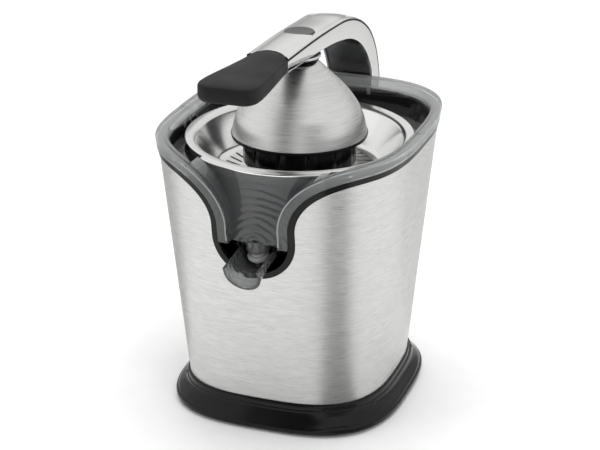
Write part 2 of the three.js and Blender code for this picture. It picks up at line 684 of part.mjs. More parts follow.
function armFrame() {
  const bar = armBar(0, 1, ({ width: w }) => [[-w + 1, 0, "inner"], [w - 1, 0, "inner"], [w, 1, "inner"],
    [w, 0, "outer"], [-w, 0, "outer"], [-w, 1, "inner"]]);
  const cheekEnds = rod(PIVOT.r, -ARM_W.rear, ARM_W.rear, PIVOT.y, PIVOT.z, 20);
  const channel = armBar(0.06, 1, ({ width: w }) => box(w - 2.2, -4, -2.4));
  const below = block(-ARM_W.rear + 2.2, ARM_W.rear - 2.2, 100, 142, 160, 199);
  const tongue = raised(block(-TONGUE.x, TONGUE.x, TONGUE.y, -50, TONGUE.z0, TONGUE.z1));
  const trimmed = cut(bar, gripRoom());
  return cut(join(trimmed, cheekEnds, tongue), channel, below,
    rod(5.4, -30, 30, PIVOT.y, PIVOT.z, 16),
    rod(2.9, -DOME_PIN - GAP, DOME_PIN + GAP, 0, DOME_PIVOT_Z, 12),
    disc(BUTTON_R + 0.4, 268, 290, 20));
}

const BUTTON_R = 10.9;

const ARM_FOOT = block(-30, 30, 110, 160, 160, 184.5); // cover and seam stop above this

// Crowned chrome cover over the arm's top and back.
function armTopCover() {
  const cover = armBar(0, 1, ({ width: w }) => [[-w, 1, "outer"], [w, 1, "outer"], [w, 1.7, "outer"],
    [w * 0.72, 1 + COVER_CROWN * 0.66, "outer"], [w * 0.36, 1 + COVER_CROWN * 0.93, "outer"],
    [0, 1 + COVER_CROWN, "outer"], [-w * 0.36, 1 + COVER_CROWN * 0.93, "outer"],
    [-w * 0.72, 1 + COVER_CROWN * 0.66, "outer"], [-w, 1.7, "outer"]]);
  return cut(cover, gripRoom(), disc(BUTTON_R + 0.4, 250, 300, 20), ARM_FOOT);
}

// Thin black gasket that shows as a line between frame and cover.
function armSeam() {
  const strip = armBar(0, 1, ({ width: w }) => [[-w + 0.5, 0.15, "outer"], [w - 0.5, 0.15, "outer"],
    [w - 0.5, 0.85, "outer"], [-w + 0.5, 0.85, "outer"]]);
  return cut(strip, gripRoom(), disc(BUTTON_R + 1.2, 250, 300, 20), ARM_FOOT);
}

// Dark gloss cover inside the arm's bend.
const armInnerCover = () =>
  armBar(0.36, 0.9, ({ width: w }) => [[-w + 2.5, 1.2, "inner"], [w - 2.5, 1.2, "inner"],
    [w - 2.5, 3, "inner"], [-w + 2.5, 3, "inner"]], 12);

// Cross-sections of the grip: [y, half-width, bottom, top of the side, crown of the top].
const GRIP_RUN = [[-48, 15.5, 266.2, 277.6, 2.9], [-66, 15.5, 266.2, 277.6, 2.9],
  [-92, 18, 264.8, 277, 2], [-118, 20.7, 263.8, 276.6, 1.2], [-131, 21.5, 263.5, 276.3, 0.9],
  [-138, 20.9, 263.6, 276, 0.8], [-143, 18.4, 264, 275.5, 0.6], [-146, 14.2, 264.9, 274.6, 0.4],
  [GRIP_TIP, 10.4, 266.2, 273, 0.2]];

function grip() {
  const edge = 2.2;
  const rings = GRIP_RUN.map(([y, w, low, high, crown]) => {
    const half = [[w - edge, low], [w, low + edge], [w, high - edge], [w - 0.7, high - 0.7],
      [w - edge, high], [w * 0.45, high + crown * 0.75]];
    const others = half.map(([x, z]) => [-x, z]).reverse();
    return [...half, [0, high + crown], ...others].map(([x, z]) => vec3(x, y, z));
  });
  const pocket = block(-TONGUE.x - GAP, TONGUE.x + GAP, TONGUE.y - GAP, -40, TONGUE.z0 - GAP,
    TONGUE.z1 + GAP);
  const screwHole = join(disc(1.9, 255, 270, 8, 0, -96), disc(3.6, 255, 265.6, 10, 0, -96));
  return cut(raised(cut(loft(rings), pocket, screwHole)), gripSide(-20, 0));
}

// ---------------------------------------------------------------- release button and dome
const releaseButton = () =>
  turned([[0, 275.6], [7.4, 275.6], [8, 273.4], [BUTTON_R, 273.4], [BUTTON_R, 278.2],
    [BUTTON_R - 0.8, 279], [5, 278.4], [0, 278.2]], 20);

const DOME_PROFILE = [[49.8, DOME_RIM_Z], [48.9, 207.5], [46.6, 216.5], [42.6, 225], [34.6, 236],
  [24.4, 246.5], [15.4, 255.4]];

function domeShell() {
  const skin = 1.2;
  const inner = DOME_PROFILE.map(([r, z]) => [r - skin, z === DOME_RIM_Z ? z : z - skin * 0.7]).reverse();
  return turned([...DOME_PROFILE, [9, 258.2], [9, 257], ...inner], 32);
}

function domeLiner() {
  const out = DOME_PROFILE.slice(0, -1).map(([r, z]) => [r - 1.6, z === DOME_RIM_Z ? z : z - 1.4]);
  const inner = out.map(([r, z]) => [r - 2, z === DOME_RIM_Z ? z - 2.4 : z - 1.6]).reverse();
  return turned([[50, DOME_RIM_Z - 2.4], [50.4, DOME_RIM_Z - GAP], [48.2, DOME_RIM_Z - GAP], ...out.slice(1),
    [8, 255.2], [8, 252.6], ...inner], 20);
}

function domeNeck() {
  const cup = turned([[0, 258.8], [14.4, 258.8], [15.8, 260.6], [15.8, 262.2], [0, 262.2]], 24);
  const eye = join(rod(4.6, -5, 5, 0, DOME_PIVOT_Z, 16), block(-5, 5, -4.6, 4.6, 261, DOME_PIVOT_Z));
  const spigot = disc(7.6, 254, 259.4, 18); // through the dome shell and the clip
  return cut(join(cup, eye, spigot), rod(2.9, -20, 20, 0, DOME_PIVOT_Z, 12));
}

const neckRing = () =>
  turned([[8.4, 255.6], [8.4, 256.8], [8, 256.9], [8, 255.4]], 18);

const domePin = () => rod(2.5, -DOME_PIN, DOME_PIN, 0, DOME_PIVOT_Z, 12);

// ---------------------------------------------------------------- lever hinge
function hingeBracket() {
  const rearWall = (z) => wallAt(z).yc + wallAt(z).b;
  const pad = loft([outlinePad(rearWall(160), 160), outlinePad(rearWall(199), 199)]);
  const web = block(-16, 16, 109, 124, 179, 193);
  const nose = rod(7, -16, 16, PIVOT.y, PIVOT.z, 20);
  const tongue = join(web, nose, block(-16, 16, 122, PIVOT.y, PIVOT.z - 7, PIVOT.z + 7));
  return cut(join(pad, tongue), rod(3.9, -30, 30, PIVOT.y, PIVOT.z, 16));
}

// Outline of the pad behind the shell at height z, seen from above.
const outlinePad = (y, z) => [vec3(-24, y - 3.6, z), vec3(24, y - 3.6, z), vec3(24, y + 2.4, z),
  vec3(16, y + 4.4, z), vec3(-16, y + 4.4, z), vec3(-24, y + 2.4, z)];

const pivotPin = () => rod(3.6, -ARM_W.rear - 1, ARM_W.rear + 1, PIVOT.y, PIVOT.z, 16);

function pivotBush(side) {
  const x0 = ARM_W.rear - 2.1;
  const ring = cut(rod(5.1, x0, ARM_W.rear - 0.1, PIVOT.y, PIVOT.z, 16),
    rod(3.9, 0, 40, PIVOT.y, PIVOT.z, 16));
  return side > 0 ? ring : ring.mirror([1, 0, 0]);
}

function pivotCap(side) {
  const cap = cut(rod(7.6, ARM_W.rear + 0.3, ARM_W.rear + 2.6, PIVOT.y, PIVOT.z, 20),
    rod(3.9, ARM_W.rear, ARM_W.rear + 1.4, PIVOT.y, PIVOT.z, 16));
  return side > 0 ? cap : cap.mirror([1, 0, 0]);
}

// ---------------------------------------------------------------- assembly
add("base_skirt", geometryOf(baseSkirt()), glossBlack);
add("base_plate", geometryOf(basePlate()), glossBlack);
for (const [where, x, y] of FOOT_AT) {
  add("foot_" + where, geometryOf(foot(x, y)), rubber);
}
for (const [where, x, y] of SCREW_AT)
  add("base_screw_" + where, geometryOf(screw(x, y, 1.1, 10)), zinc);

const bracketHole = block(-24.4, 24.4, 90, 130, 159.6, 204);
add("housing_shell", geometryOf(cut(housingShell(), bracketHole, glandHole())), steel);
add("edge_trim", geometryOf(trim()), glossBlack);
add("motor_deck", geometryOf(cut(deck(), bracketHole)), glossBlack);
add("juice_collector", geometryOf(collector()), smoke);
add("spout", geometryOf(spout()), smoke);
add("spout_pin", geometryOf(rod(2.2, -21, 21, SPOUT_PIVOT.y, SPOUT_PIVOT.z, 12)), steel);
add("drip_seal", geometryOf(dripSeal()), silicone);
add("strainer", geometryOf(strainer()), polished);

add("reamer_cone", geometryOf(reamerCone()), glossBlack);
add("drive_shaft", geometryOf(driveShaft()), zinc);
add("shaft_bush", geometryOf(shaftBush()), brass);
add("shaft_seal", geometryOf(shaftSeal()), rubber);
add("output_gear", geometryOf(outputGear()), nylon);
add("idler_gear", geometryOf(idlerGear()), nylon);
add("idler_axle", geometryOf(idlerAxle()), zinc);
add("motor_pinion", geometryOf(motorPinion()), brass);
add("motor_rotor", geometryOf(motorRotor()), zinc);
add("motor_can", geometryOf(motorCan()), zinc);
add("motor_end_cap", geometryOf(motorEndCap()), glossBlack);
add("gear_plate", geometryOf(gearPlate()), glossBlack);
POSTS.forEach(([x, y], i) =>
  add("gear_plate_screw_" + (i + 1), geometryOf(screw(x, y, PLATE.z0 - 2.1, 30)), zinc));
add("press_carrier", geometryOf(pressCarrier()), nylon);
add("switch_actuator", geometryOf(switchActuator()), nylon);
add("start_switch", geometryOf(startSwitch()), glossBlack);
add("return_spring", geometryOf(spring(4.6, 0.5, PLATE.z1 + 0.1, 91.5, 4)), steel);
add("cord_gland", geometryOf(cordGland()), rubber);

add("hinge_bracket", geometryOf(hingeBracket()), softBlack);
add("lever_pin", geometryOf(pivotPin()), zinc);
for (const [side, name] of [[-1, "left"], [1, "right"]]) {
  add("lever_bush_" + name, geometryOf(pivotBush(side)), nylon);
  add("lever_cap_" + name, geometryOf(pivotCap(side)), chrome);
}
add("arm_frame", geometryOf(armFrame()), chrome);
add("arm_seam", geometryOf(armSeam()), softBlack);
add("arm_top_cover", geometryOf(armTopCover()), chrome);
add("arm_inner_cover", geometryOf(armInnerCover()), glossBlack);
add("grip", geometryOf(grip()), softBlack);
add("release_button", geometryOf(releaseButton()), softBlack);
add("dome_pin", geometryOf(domePin()), zinc);
add("dome_neck", geometryOf(domeNeck()), steel);
add("dome_clip", geometryOf(neckRing()), softBlack);
add("dome_shell", geometryOf(domeShell()), steel);
add("dome_liner", geometryOf(domeLiner()), glossBlack);

export default root;
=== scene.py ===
# Electric citrus press with a lever arm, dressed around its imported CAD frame.
# Shapes are drawn in millimetres about the axis of the juicing cone, front towards -Y, and put
# into the row frame, in metres, when their meshes are made.
import json
import math

import bmesh
import bpy
from mathutils import Matrix, Vector


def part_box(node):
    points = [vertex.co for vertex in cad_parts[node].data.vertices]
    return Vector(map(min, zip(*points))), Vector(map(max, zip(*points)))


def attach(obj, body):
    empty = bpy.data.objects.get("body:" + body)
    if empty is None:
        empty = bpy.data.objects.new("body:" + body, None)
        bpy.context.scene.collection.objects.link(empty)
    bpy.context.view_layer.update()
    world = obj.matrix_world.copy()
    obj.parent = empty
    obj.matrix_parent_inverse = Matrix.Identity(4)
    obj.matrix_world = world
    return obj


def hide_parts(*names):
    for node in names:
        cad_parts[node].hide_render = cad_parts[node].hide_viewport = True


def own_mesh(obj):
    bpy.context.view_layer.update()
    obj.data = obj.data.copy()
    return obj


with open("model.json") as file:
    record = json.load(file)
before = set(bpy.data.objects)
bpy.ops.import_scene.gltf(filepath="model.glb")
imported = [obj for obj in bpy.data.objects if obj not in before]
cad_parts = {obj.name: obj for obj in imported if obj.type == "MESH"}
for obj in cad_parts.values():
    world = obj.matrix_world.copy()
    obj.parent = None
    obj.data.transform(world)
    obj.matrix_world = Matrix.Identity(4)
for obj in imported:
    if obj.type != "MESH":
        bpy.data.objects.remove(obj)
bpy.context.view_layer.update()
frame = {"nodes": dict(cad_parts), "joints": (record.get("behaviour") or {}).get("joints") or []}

# ---------------------------------------------------------------- driving dimensions
MM = 0.001
JOINTS = {joint["name"]: joint for joint in frame["joints"]}
AXIS_Y = JOINTS["cone_spin"]["pos_m"][1] / MM  # the cone's axis, in mm behind the row's origin


def top_of(node):
    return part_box(node)[1].z / MM


def foot_of(node):
    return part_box(node)[0].z / MM


def pivot_of(joint):
    """The y and z of a hinge's axis, in mm about the cone's axis."""
    _, y, z = JOINTS[joint]["pos_m"]
    return y / MM - AXIS_Y, z / MM


SKIRT_TOP = foot_of("housing_shell")
SHELL_TOP = top_of("housing_shell")
FLANGE_TOP = top_of("juice_collector")
STRAINER_TOP = top_of("strainer")
DOME_RIM_Z = foot_of("dome_shell")
DECK_FLOOR = 114.5
WALL_LOW = {"a": 77.5, "b": 80.2, "yc": 0.4, "z": 21.6}
WALL_HIGH = {"a": 92.3, "b": 107.9, "yc": 5.3, "z": 198.0}
ROUNDNESS = 3.0
RING_STEPS = 220
SHELL_T = 1.2
TRIM_W = 4.6
VEE = TRIM_W + 7.5  # from the notch's edge to the fold beside the pouring panel
FLANGE_OUT, FLANGE_T = 1.4, 4.8
GROOVE = {"out": 0.3, "in": 4.4, "deep": 0.8}  # along the top of the flange
WIDE = 140  # half-width of a cutter that spans the body
GAP = 0.3
NOTCH = {"r": 31, "zc": 155, "flare_z": 163, "rx": 50, "rz": 37}
BOWL_INSET = 4.5
BOWL_FLOOR = 150
SHELF_Z = 196
SEAT_R = 80
STRAINER_R = 84.4
LIP = {"r": 88.8, "x": 48, "z0": 200.2, "z1": 201.7}  # the strainer's rim widens over the panel
PANEL_TOP = 199.4
FLANGE_IN = 6
CORNER_TOP = 203  # the panel's side walls stop here, inside of the flange
FUNNEL = {"r0": 93, "z0": 140, "r1": 86.2, "z1": 200}
DRAIN = {"y": -86, "r": 6, "z": 144.2}
SLOT = {"count": 40, "r": 50.3, "wide": 1.9, "long": 13.2, "lean": math.radians(28)}
TURRET_R = 19
SPOUT_W = 13.3
EAR_X = 19.2
GLAND_Z = 36
SPOUT_LIFT = JOINTS["spout_tip"]["range_deg"][1]
GRIP_RISE = 3.4  # degrees that the grip points up towards the front
ARM_FRONT, ARM_REAR = 15.2, 19.0
COVER_CROWN = 3.35
DOME_SOCKET = 14.2  # half-length of the dome pin's bore in the arm
HINGE = {"pin": 3.6, "bore": 3.9, "bush": 5.1, "seat": 5.4}  # radii at the lever's hinge
BUTTON_R = 10.9
PIVOT_Y, PIVOT_Z = pivot_of("lever_lift")
DOME_PIVOT_Z = pivot_of("dome_tilt")[1]
SPOUT_Y, SPOUT_Z = pivot_of("spout_tip")

# ---------------------------------------------------------------- mesh helpers


def two_tone(piece, other, chosen):
    """Gives another material to the faces whose centres are chosen."""
    piece.data.materials.append(other)
    for face in piece.data.polygons:
        if chosen(face.center):
            face.material_index = len(piece.data.materials) - 1


def in_front(centre):
    """In the collector's front stretch, which holds the panel, its folds and the notch's edge."""
    return centre.y < (-52 + AXIS_Y) * MM and abs(centre.x) < 84 * MM


def link(name, mesh):
    piece = bpy.data.objects.new(name, mesh)
    bpy.context.scene.collection.objects.link(piece)
    return piece


def solid(points, faces):
    """A closed mesh from points in mm about the cone's axis, with its faces turned outwards."""
    mesh = bpy.data.meshes.new("work")
    placed = [(x * MM, (y + AXIS_Y) * MM, z * MM) for x, y, z in points]
    mesh.from_pydata(placed, [], faces)
    shape = bmesh.new()
    shape.from_mesh(mesh)
    bmesh.ops.remove_doubles(shape, verts=shape.verts, dist=1e-7)
    bmesh.ops.recalc_face_normals(shape, faces=shape.faces)
    if shape.calc_volume(signed=True) < 0:
        bmesh.ops.reverse_faces(shape, faces=shape.faces)
    shape.to_mesh(mesh)
    shape.free()
    return link("work", mesh)


def loft(rings):
    """A closed skin over rings of points, each with as many points as the first."""
    count = len(rings[0])
    faces = []
    for i in range(len(rings) - 1):
        for j in range(count):
            a, b = i * count + j, i * count + (j + 1) % count
            faces.append((a, b, b + count, a + count))
    faces.append(tuple(range(count))[::-1])
    last = (len(rings) - 1) * count
    faces.append(tuple(range(last, last + count)))
    return solid([p for ring in rings for p in ring], faces)


def turned(profile, steps=96, x=0, y=0, wave=None):
    """A solid of revolution. Profile points are (radius, height); wave(angle, r, z) scales a radius."""
    points, faces, rows = [], [], []
    for r, z in profile:
        if r < 1e-6:
            points.append((x, y, z))
            rows.append([len(points) - 1] * steps)
            continue
        start = len(points)
        for t in turns(steps):
            k = r * (wave(t, r, z) if wave else 1)
            points.append((x + k * math.cos(t), y + k * math.sin(t), z))
        rows.append(list(range(start, start + steps)))
    closed = profile[0][0] > 1e-6 or profile[-1][0] > 1e-6
    pairs = list(zip(rows, rows[1:])) + ([(rows[-1], rows[0])] if closed else [])
    for low, high in pairs:
        for i in range(steps):
            j = (i + 1) % steps
            face = [low[i], low[j], high[j], high[i]]
            face = [v for k, v in enumerate(face) if v not in face[:k]]
            if len(face) > 2:
                faces.append(tuple(face))
    return solid(points, faces)


def disc(r, z0, z1, steps=64, x=0, y=0):
    return turned([(0, z0), (r, z0), (r, z1), (0, z1)], steps, x, y)


def box(x0, x1, y0, y1, z0, z1):
    corners = [(x, y, z) for z in (z0, z1) for x, y in ((x0, y0), (x1, y0), (x1, y1), (x0, y1))]
    faces = [(3, 2, 1, 0), (4, 5, 6, 7), (0, 1, 5, 4), (1, 2, 6, 5), (2, 3, 7, 6), (3, 0, 4, 7)]
    return solid(corners, faces)


def rod(r, x0, x1, y, z, steps=48):
    """A cylinder along X."""
    circle = [(y + r * math.cos(t), z + r * math.sin(t)) for t in turns(steps)]
    return loft([[(x, u, v) for u, v in circle] for x in (x0, x1)])


def turns(steps):
    return [2 * math.pi * i / steps for i in range(steps)]


def front_prism(outline, y0, y1):
    """An outline in x and z, as seen from the front, pushed from y0 back to y1."""
    return loft([[(x, y, z) for x, z in outline] for y in (y0, y1)])


def plan_prism(outline, z0, z1):
    return loft([[(x, y, z) for x, y in outline] for z in (z0, z1)])


def combine(first, operation, others):
    for other in others:
        step = first.modifiers.new("step", "BOOLEAN")
        step.operation = operation
        step.solver = "MANIFOLD"
        step.object = other
    ready = first.evaluated_get(bpy.context.evaluated_depsgraph_get())
    mesh = bpy.data.meshes.new_from_object(ready)
    first.modifiers.clear()
    first.data = mesh
    for other in others:
        bpy.data.objects.remove(other)
    return first


def cut(first, *others):
    return combine(first, "DIFFERENCE", others)


def join(first, *others):
    return combine(first, "UNION", others)


def common(first, *others):
    return combine(first, "INTERSECT", others)


def fillet(corners, radius, steps=4, closed=True):
    """The corners of an outline, each rounded off by an arc-like curve."""
    made = []
    count = len(corners)
    for i, corner in enumerate(corners):
        if not closed and i in (0, count - 1):
            made.append(tuple(corner))
            continue
        here = Vector(corner)
        before, after = Vector(corners[i - 1]), Vector(corners[(i + 1) % count])
        reach = min(radius, (before - here).length * 0.45, (after - here).length * 0.45)
        start = here + (before - here).normalized() * reach
        end = here + (after - here).normalized() * reach
        for k in range(steps + 1):
            t = k / steps
            made.append(tuple(start * (1 - t) ** 2 + here * 2 * t * (1 - t) + end * t * t))
    return made


def spline(points, steps):
    """Points on a smooth curve through the given ones."""
    made = []
    for i in range(len(points) - 1):
        p0 = Vector(points[max(i - 1, 0)])
        p1, p2 = Vector(points[i]), Vector(points[i + 1])
        p3 = Vector(points[min(i + 2, len(points) - 1)])
        for k in range(steps):
            t = k / steps
            bend = (p2 - p0) * 0.5
            leave = (p3 - p1) * 0.5
            h = (2 * t**3 - 3 * t**2 + 1, t**3 - 2 * t**2 + t, -2 * t**3 + 3 * t**2, t**3 - t**2)
            made.append(tuple(p1 * h[0] + bend * h[1] + p2 * h[2] + leave * h[3]))
    made.append(tuple(points[-1]))
    return made


def finished(piece, material, slot, body, *nodes, name=None, sharp=30):
    """Names a piece, shades it smooth but for its sharp edges, parents it to its body and hides the parts
    it replaces.
    """
    piece.name = piece.data.name = (name or nodes[0]) + "_fine"
    shape = bmesh.new()
    shape.from_mesh(piece.data)
    bmesh.ops.dissolve_degenerate(shape, dist=1e-7, edges=shape.edges)
    for face in shape.faces:
        face.smooth = True
    for edge in shape.edges:
        edge.smooth = len(edge.link_faces) == 2 and edge.calc_face_angle(0) < math.radians(sharp)
    shape.to_mesh(piece.data)
    shape.free()
    piece.data.materials.clear()
    piece.data.materials.append(material)
    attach(piece, body)
    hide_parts(*nodes)
    return piece


# ---------------------------------------------------------------- materials


def new_material(name, color, roughness, metallic=0.0):
    material = bpy.data.materials.new(name)
    material.use_nodes = True
    shader = material.node_tree.nodes["Principled BSDF"]
    shader.inputs["Base Color"].default_value = (*color, 1)
    shader.inputs["Roughness"].default_value = roughness
    shader.inputs["Metallic"].default_value = metallic
    return material, material.node_tree, shader


def node(tree, kind, **values):
    made = tree.nodes.new(kind)
    for key, value in values.items():
        if hasattr(made, key):
            setattr(made, key, value)
        else:
            made.inputs[key.replace("_", " ")].default_value = value
    return made


def maths(tree, operation, *inputs):
    """A maths node's output. Each input is a number or another node's output."""
    made = node(tree, "ShaderNodeMath", operation=operation)
    for socket, value in zip(made.inputs, inputs):
        if isinstance(value, (int, float)):
            socket.default_value = value
        else:
            tree.links.new(value, socket)
    return made.outputs[0]


def stretched(tree, scale):
    """Object coordinates, scaled by axis."""
    where = node(tree, "ShaderNodeTexCoord")
    mapping = node(tree, "ShaderNodeMapping", Scale=scale)
    tree.links.new(where.outputs["Object"], mapping.inputs["Vector"])
    return mapping.outputs["Vector"]


def grain_around(tree, along, across):
    """Coordinates for lines that run round the cone's axis, long one way and fine the other."""
    where = node(tree, "ShaderNodeTexCoord")
    move = node(tree, "ShaderNodeVectorMath", operation="SUBTRACT")
    move.inputs[1].default_value = (0, AXIS_Y * MM, 0)
    parts = node(tree, "ShaderNodeSeparateXYZ")
    flat = node(tree, "ShaderNodeVectorMath", operation="MULTIPLY")
    flat.inputs[1].default_value = (1, 1, 0)
    radius = node(tree, "ShaderNodeVectorMath", operation="LENGTH")
    scaled = node(tree, "ShaderNodeVectorMath", operation="SCALE")
    scaled.inputs["Scale"].default_value = along
    split = node(tree, "ShaderNodeSeparateXYZ")
    merged = node(tree, "ShaderNodeCombineXYZ")
    connect = tree.links.new
    connect(where.outputs["Object"], move.inputs[0])
    connect(move.outputs[0], parts.inputs[0])
    connect(move.outputs[0], flat.inputs[0])
    connect(flat.outputs[0], radius.inputs[0])
    connect(flat.outputs[0], scaled.inputs[0])
    connect(scaled.outputs[0], split.inputs[0])
    connect(split.outputs["X"], merged.inputs["X"])
    connect(split.outputs["Y"], merged.inputs["Y"])
    down = maths(tree, "SUBTRACT", parts.outputs["Z"], radius.outputs["Value"])
    connect(maths(tree, "MULTIPLY", down, across), merged.inputs["Z"])
    return merged.outputs[0]


def noise(tree, vector, scale, detail=3.0):
    made = node(tree, "ShaderNodeTexNoise", Scale=scale, Detail=detail)
    tree.links.new(vector, made.inputs["Vector"])
    return made.outputs["Fac"]


def remap(tree, value, low, high, start=0.3, end=0.7):
    made = node(tree, "ShaderNodeMapRange")
    for key, number in (("From Min", start), ("From Max", end), ("To Min", low), ("To Max", high)):
        made.inputs[key].default_value = number
    tree.links.new(value, made.inputs["Value"])
    return made.outputs["Result"]


def tint(tree, value, dark, light, start=0.3, end=0.7):
    ramp = node(tree, "ShaderNodeValToRGB")
    ramp.color_ramp.elements[0].position = start
    ramp.color_ramp.elements[0].color = (*dark, 1)
    ramp.color_ramp.elements[1].position = end
    ramp.color_ramp.elements[1].color = (*light, 1)
    tree.links.new(value, ramp.inputs["Fac"])
    return ramp.outputs["Color"]


def relief(tree, shader, height, strength, depth, rounding=0.0):
    """Bump of a depth in mm, over edges rounded by a radius in mm."""
    bump = node(tree, "ShaderNodeBump", Strength=strength, Distance=depth * MM)
    tree.links.new(height, bump.inputs["Height"])
    if rounding:
        soft = node(tree, "ShaderNodeBevel", samples=4, Radius=rounding * MM)
        tree.links.new(soft.outputs["Normal"], bump.inputs["Normal"])
    tree.links.new(bump.outputs["Normal"], shader.inputs["Normal"])


def brushed_steel(name, vector_of, along=40, across=2400, color=(0.62, 0.62, 0.61)):
    """Steel with fine lines from brushing, which spread reflections across the lines."""
    material, tree, shader = new_material(name, color, 0.3, 1.0)
    vector = vector_of(tree, along, across)
    fine = noise(tree, vector, 1.0, 4)
    broad = noise(tree, vector_of(tree, along * 0.3, across * 0.12), 1.0, 2)
    mixed = maths(tree, "MULTIPLY_ADD", broad, 0.2, fine)
    dark = tuple(c * 0.84 for c in color)
    light = tuple(min(1, c * 1.12) for c in color)
    tree.links.new(tint(tree, mixed, dark, light, 0.42, 0.78), shader.inputs["Base Color"])
    tree.links.new(remap(tree, fine, 0.26, 0.38), shader.inputs["Roughness"])
    shader.inputs["Anisotropic"].default_value = 0.75
    tangent = node(tree, "ShaderNodeTangent", direction_type="RADIAL", axis="Z")
    tree.links.new(tangent.outputs[0], shader.inputs["Tangent"])
    relief(tree, shader, fine, 0.16, 0.02)
    return material


def level_grain(tree, along, across):
    """Coordinates for lines that run level round the body."""
    return stretched(tree, (along, along, across))


def polished(name, color, roughness, wander=0.03):
    """Polished metal, slightly uneven, with faint wipe marks."""
    material, tree, shader = new_material(name, color, roughness, 1.0)
    vector = stretched(tree, (1, 1, 1))
    smear = noise(tree, vector, 38, 5)
    tree.links.new(remap(tree, smear, roughness, roughness + wander), shader.inputs["Roughness"])
    tree.links.new(tint(tree, smear, tuple(c * 0.95 for c in color), color), shader.inputs["Base Color"])
    relief(tree, shader, noise(tree, vector, 60, 1), 0.05, 0.05, 0.3)
    return material


def moulded(name, color, roughness, grain=900, depth=0.02, strength=0.15, rounding=0.35, shine=0.5):
    """Moulded plastic or rubber: fine surface grain, uneven gloss, edges with a small radius."""
    material, tree, shader = new_material(name, color, roughness)
    vector = stretched(tree, (1, 1, 1))
    cloud = noise(tree, vector, 26, 4)
    light = tuple(min(1, c * 1.25 + 0.003) for c in color)
    tree.links.new(tint(tree, cloud, color, light), shader.inputs["Base Color"])
    tree.links.new(remap(tree, cloud, roughness * 0.85, roughness * 1.25), shader.inputs["Roughness"])
    shader.inputs["Specular IOR Level"].default_value = shine
    relief(tree, shader, noise(tree, vector, grain, 2), strength, depth, rounding)
    return material


def ripples(tree):
    """Rings in the moulding about the drain, which fade out a little above it."""
    where = node(tree, "ShaderNodeTexCoord")
    shift = node(tree, "ShaderNodeVectorMath", operation="SUBTRACT")
    shift.inputs[1].default_value = (0, (DRAIN["y"] + AXIS_Y) * MM, DRAIN["z"] * MM)
    tree.links.new(where.outputs["Object"], shift.inputs[0])
    wave = node(tree, "ShaderNodeTexWave", wave_type="RINGS", rings_direction="SPHERICAL", Scale=62,
                Distortion=3.0, Detail=1)
    reach = node(tree, "ShaderNodeVectorMath", operation="LENGTH")
    tree.links.new(shift.outputs[0], wave.inputs["Vector"])
    tree.links.new(shift.outputs[0], reach.inputs[0])
    near = remap(tree, reach.outputs["Value"], 1, 0, 0.03, 0.056)
    return maths(tree, "MULTIPLY", wave.outputs["Fac"], near)


def clear_smoke(name, color, clearness, roughness=0.04, pale=None):
    """Translucent grey plastic, very slightly wavy from moulding; with pale, a painted satin reflection
    towards the top.
    """
    material, tree, shader = new_material(name, color, roughness)
    shader.inputs["Transmission Weight"].default_value = clearness
    shader.inputs["IOR"].default_value = 1.46
    vector = stretched(tree, (1, 1, 0.5))
    cloud = noise(tree, vector, 30, 3)
    tree.links.new(remap(tree, cloud, roughness * 0.7, roughness * 1.4), shader.inputs["Roughness"])
    light = tuple(c * 1.15 for c in color)
    shade = tint(tree, cloud, color, light)
    if pale:
        # Pale towards the top of the collector: a painted satin reflection on the flange and the upper
        # panel.
        height = node(tree, "ShaderNodeSeparateXYZ")
        tree.links.new(stretched(tree, (1, 1, 1)), height.inputs[0])
        rim = remap(tree, height.outputs["Z"], 0, 1, 0.192, 0.209)
        blend = node(tree, "ShaderNodeMix", data_type="RGBA")
        tree.links.new(rim, blend.inputs[0])
        tree.links.new(shade, blend.inputs[6])
        blend.inputs[7].default_value = (*pale, 1)
        shade = blend.outputs[2]
    tree.links.new(shade, shader.inputs["Base Color"])
    lift = maths(tree, "MULTIPLY_ADD", ripples(tree), 2.2, noise(tree, vector, 55, 1))
    relief(tree, shader, lift, 0.5, 0.35, 0.3)
    return material


SHELL_STEEL = brushed_steel("shell_steel", level_grain, 110, 2600)
DOME_STEEL = brushed_steel("dome_steel", grain_around, 70, 2200, (0.74, 0.74, 0.73))
MIRROR = polished("mirror_steel", (0.86, 0.86, 0.85), 0.15)
CHROME = polished("chrome", (0.88, 0.88, 0.87), 0.05)
GLOSS_BLACK = moulded("gloss_black", (0.004, 0.004, 0.0044), 0.14, grain=500, strength=0.05, shine=0.22)
SOFT_BLACK = moulded("soft_black", (0.008, 0.008, 0.0084), 0.48, grain=1800, depth=0.03, strength=0.3,
                     shine=0.17)
BUTTON_GREY = moulded("button_grey", (0.05, 0.05, 0.052), 0.4, grain=1800, depth=0.03, strength=0.3)
DARK_CHROME = polished("dark_chrome", (0.36, 0.36, 0.365), 0.22)
# Smoke that pales towards the top: a painted satin reflection.
SMOKE_PAINTED_SHEEN = clear_smoke("smoke_plastic", (0.24, 0.245, 0.25), 0.72, pale=(0.56, 0.565, 0.57))
SMOKE_DARK = clear_smoke("smoke_dark", (0.02, 0.02, 0.021), 0.5)
# Pale smoke for the bead along the panel's folds: a painted highlight.
SMOKE_PAINTED_HIGHLIGHT = clear_smoke("smoke_painted_highlight", (0.6, 0.605, 0.61), 0.6, 0.1)
SMOKE_SPOUT = clear_smoke("smoke_spout", (0.34, 0.345, 0.35), 0.88)
NECK_METAL = polished("neck_metal", (0.78, 0.78, 0.78), 0.38, 0.04)
SILICONE = moulded("silicone", (0.3, 0.3, 0.3), 0.4, grain=700)
RUBBER = moulded("rubber", (0.02, 0.02, 0.02), 0.7, grain=1200, strength=0.3)
NYLON = moulded("nylon", (0.74, 0.70, 0.6), 0.4, grain=600)
ZINC = polished("zinc", (0.6, 0.61, 0.63), 0.28, 0.12)
BRASS = polished("brass", (0.72, 0.52, 0.22), 0.22, 0.1)
STEEL_WIRE = polished("spring_steel", (0.5, 0.5, 0.51), 0.25, 0.08)

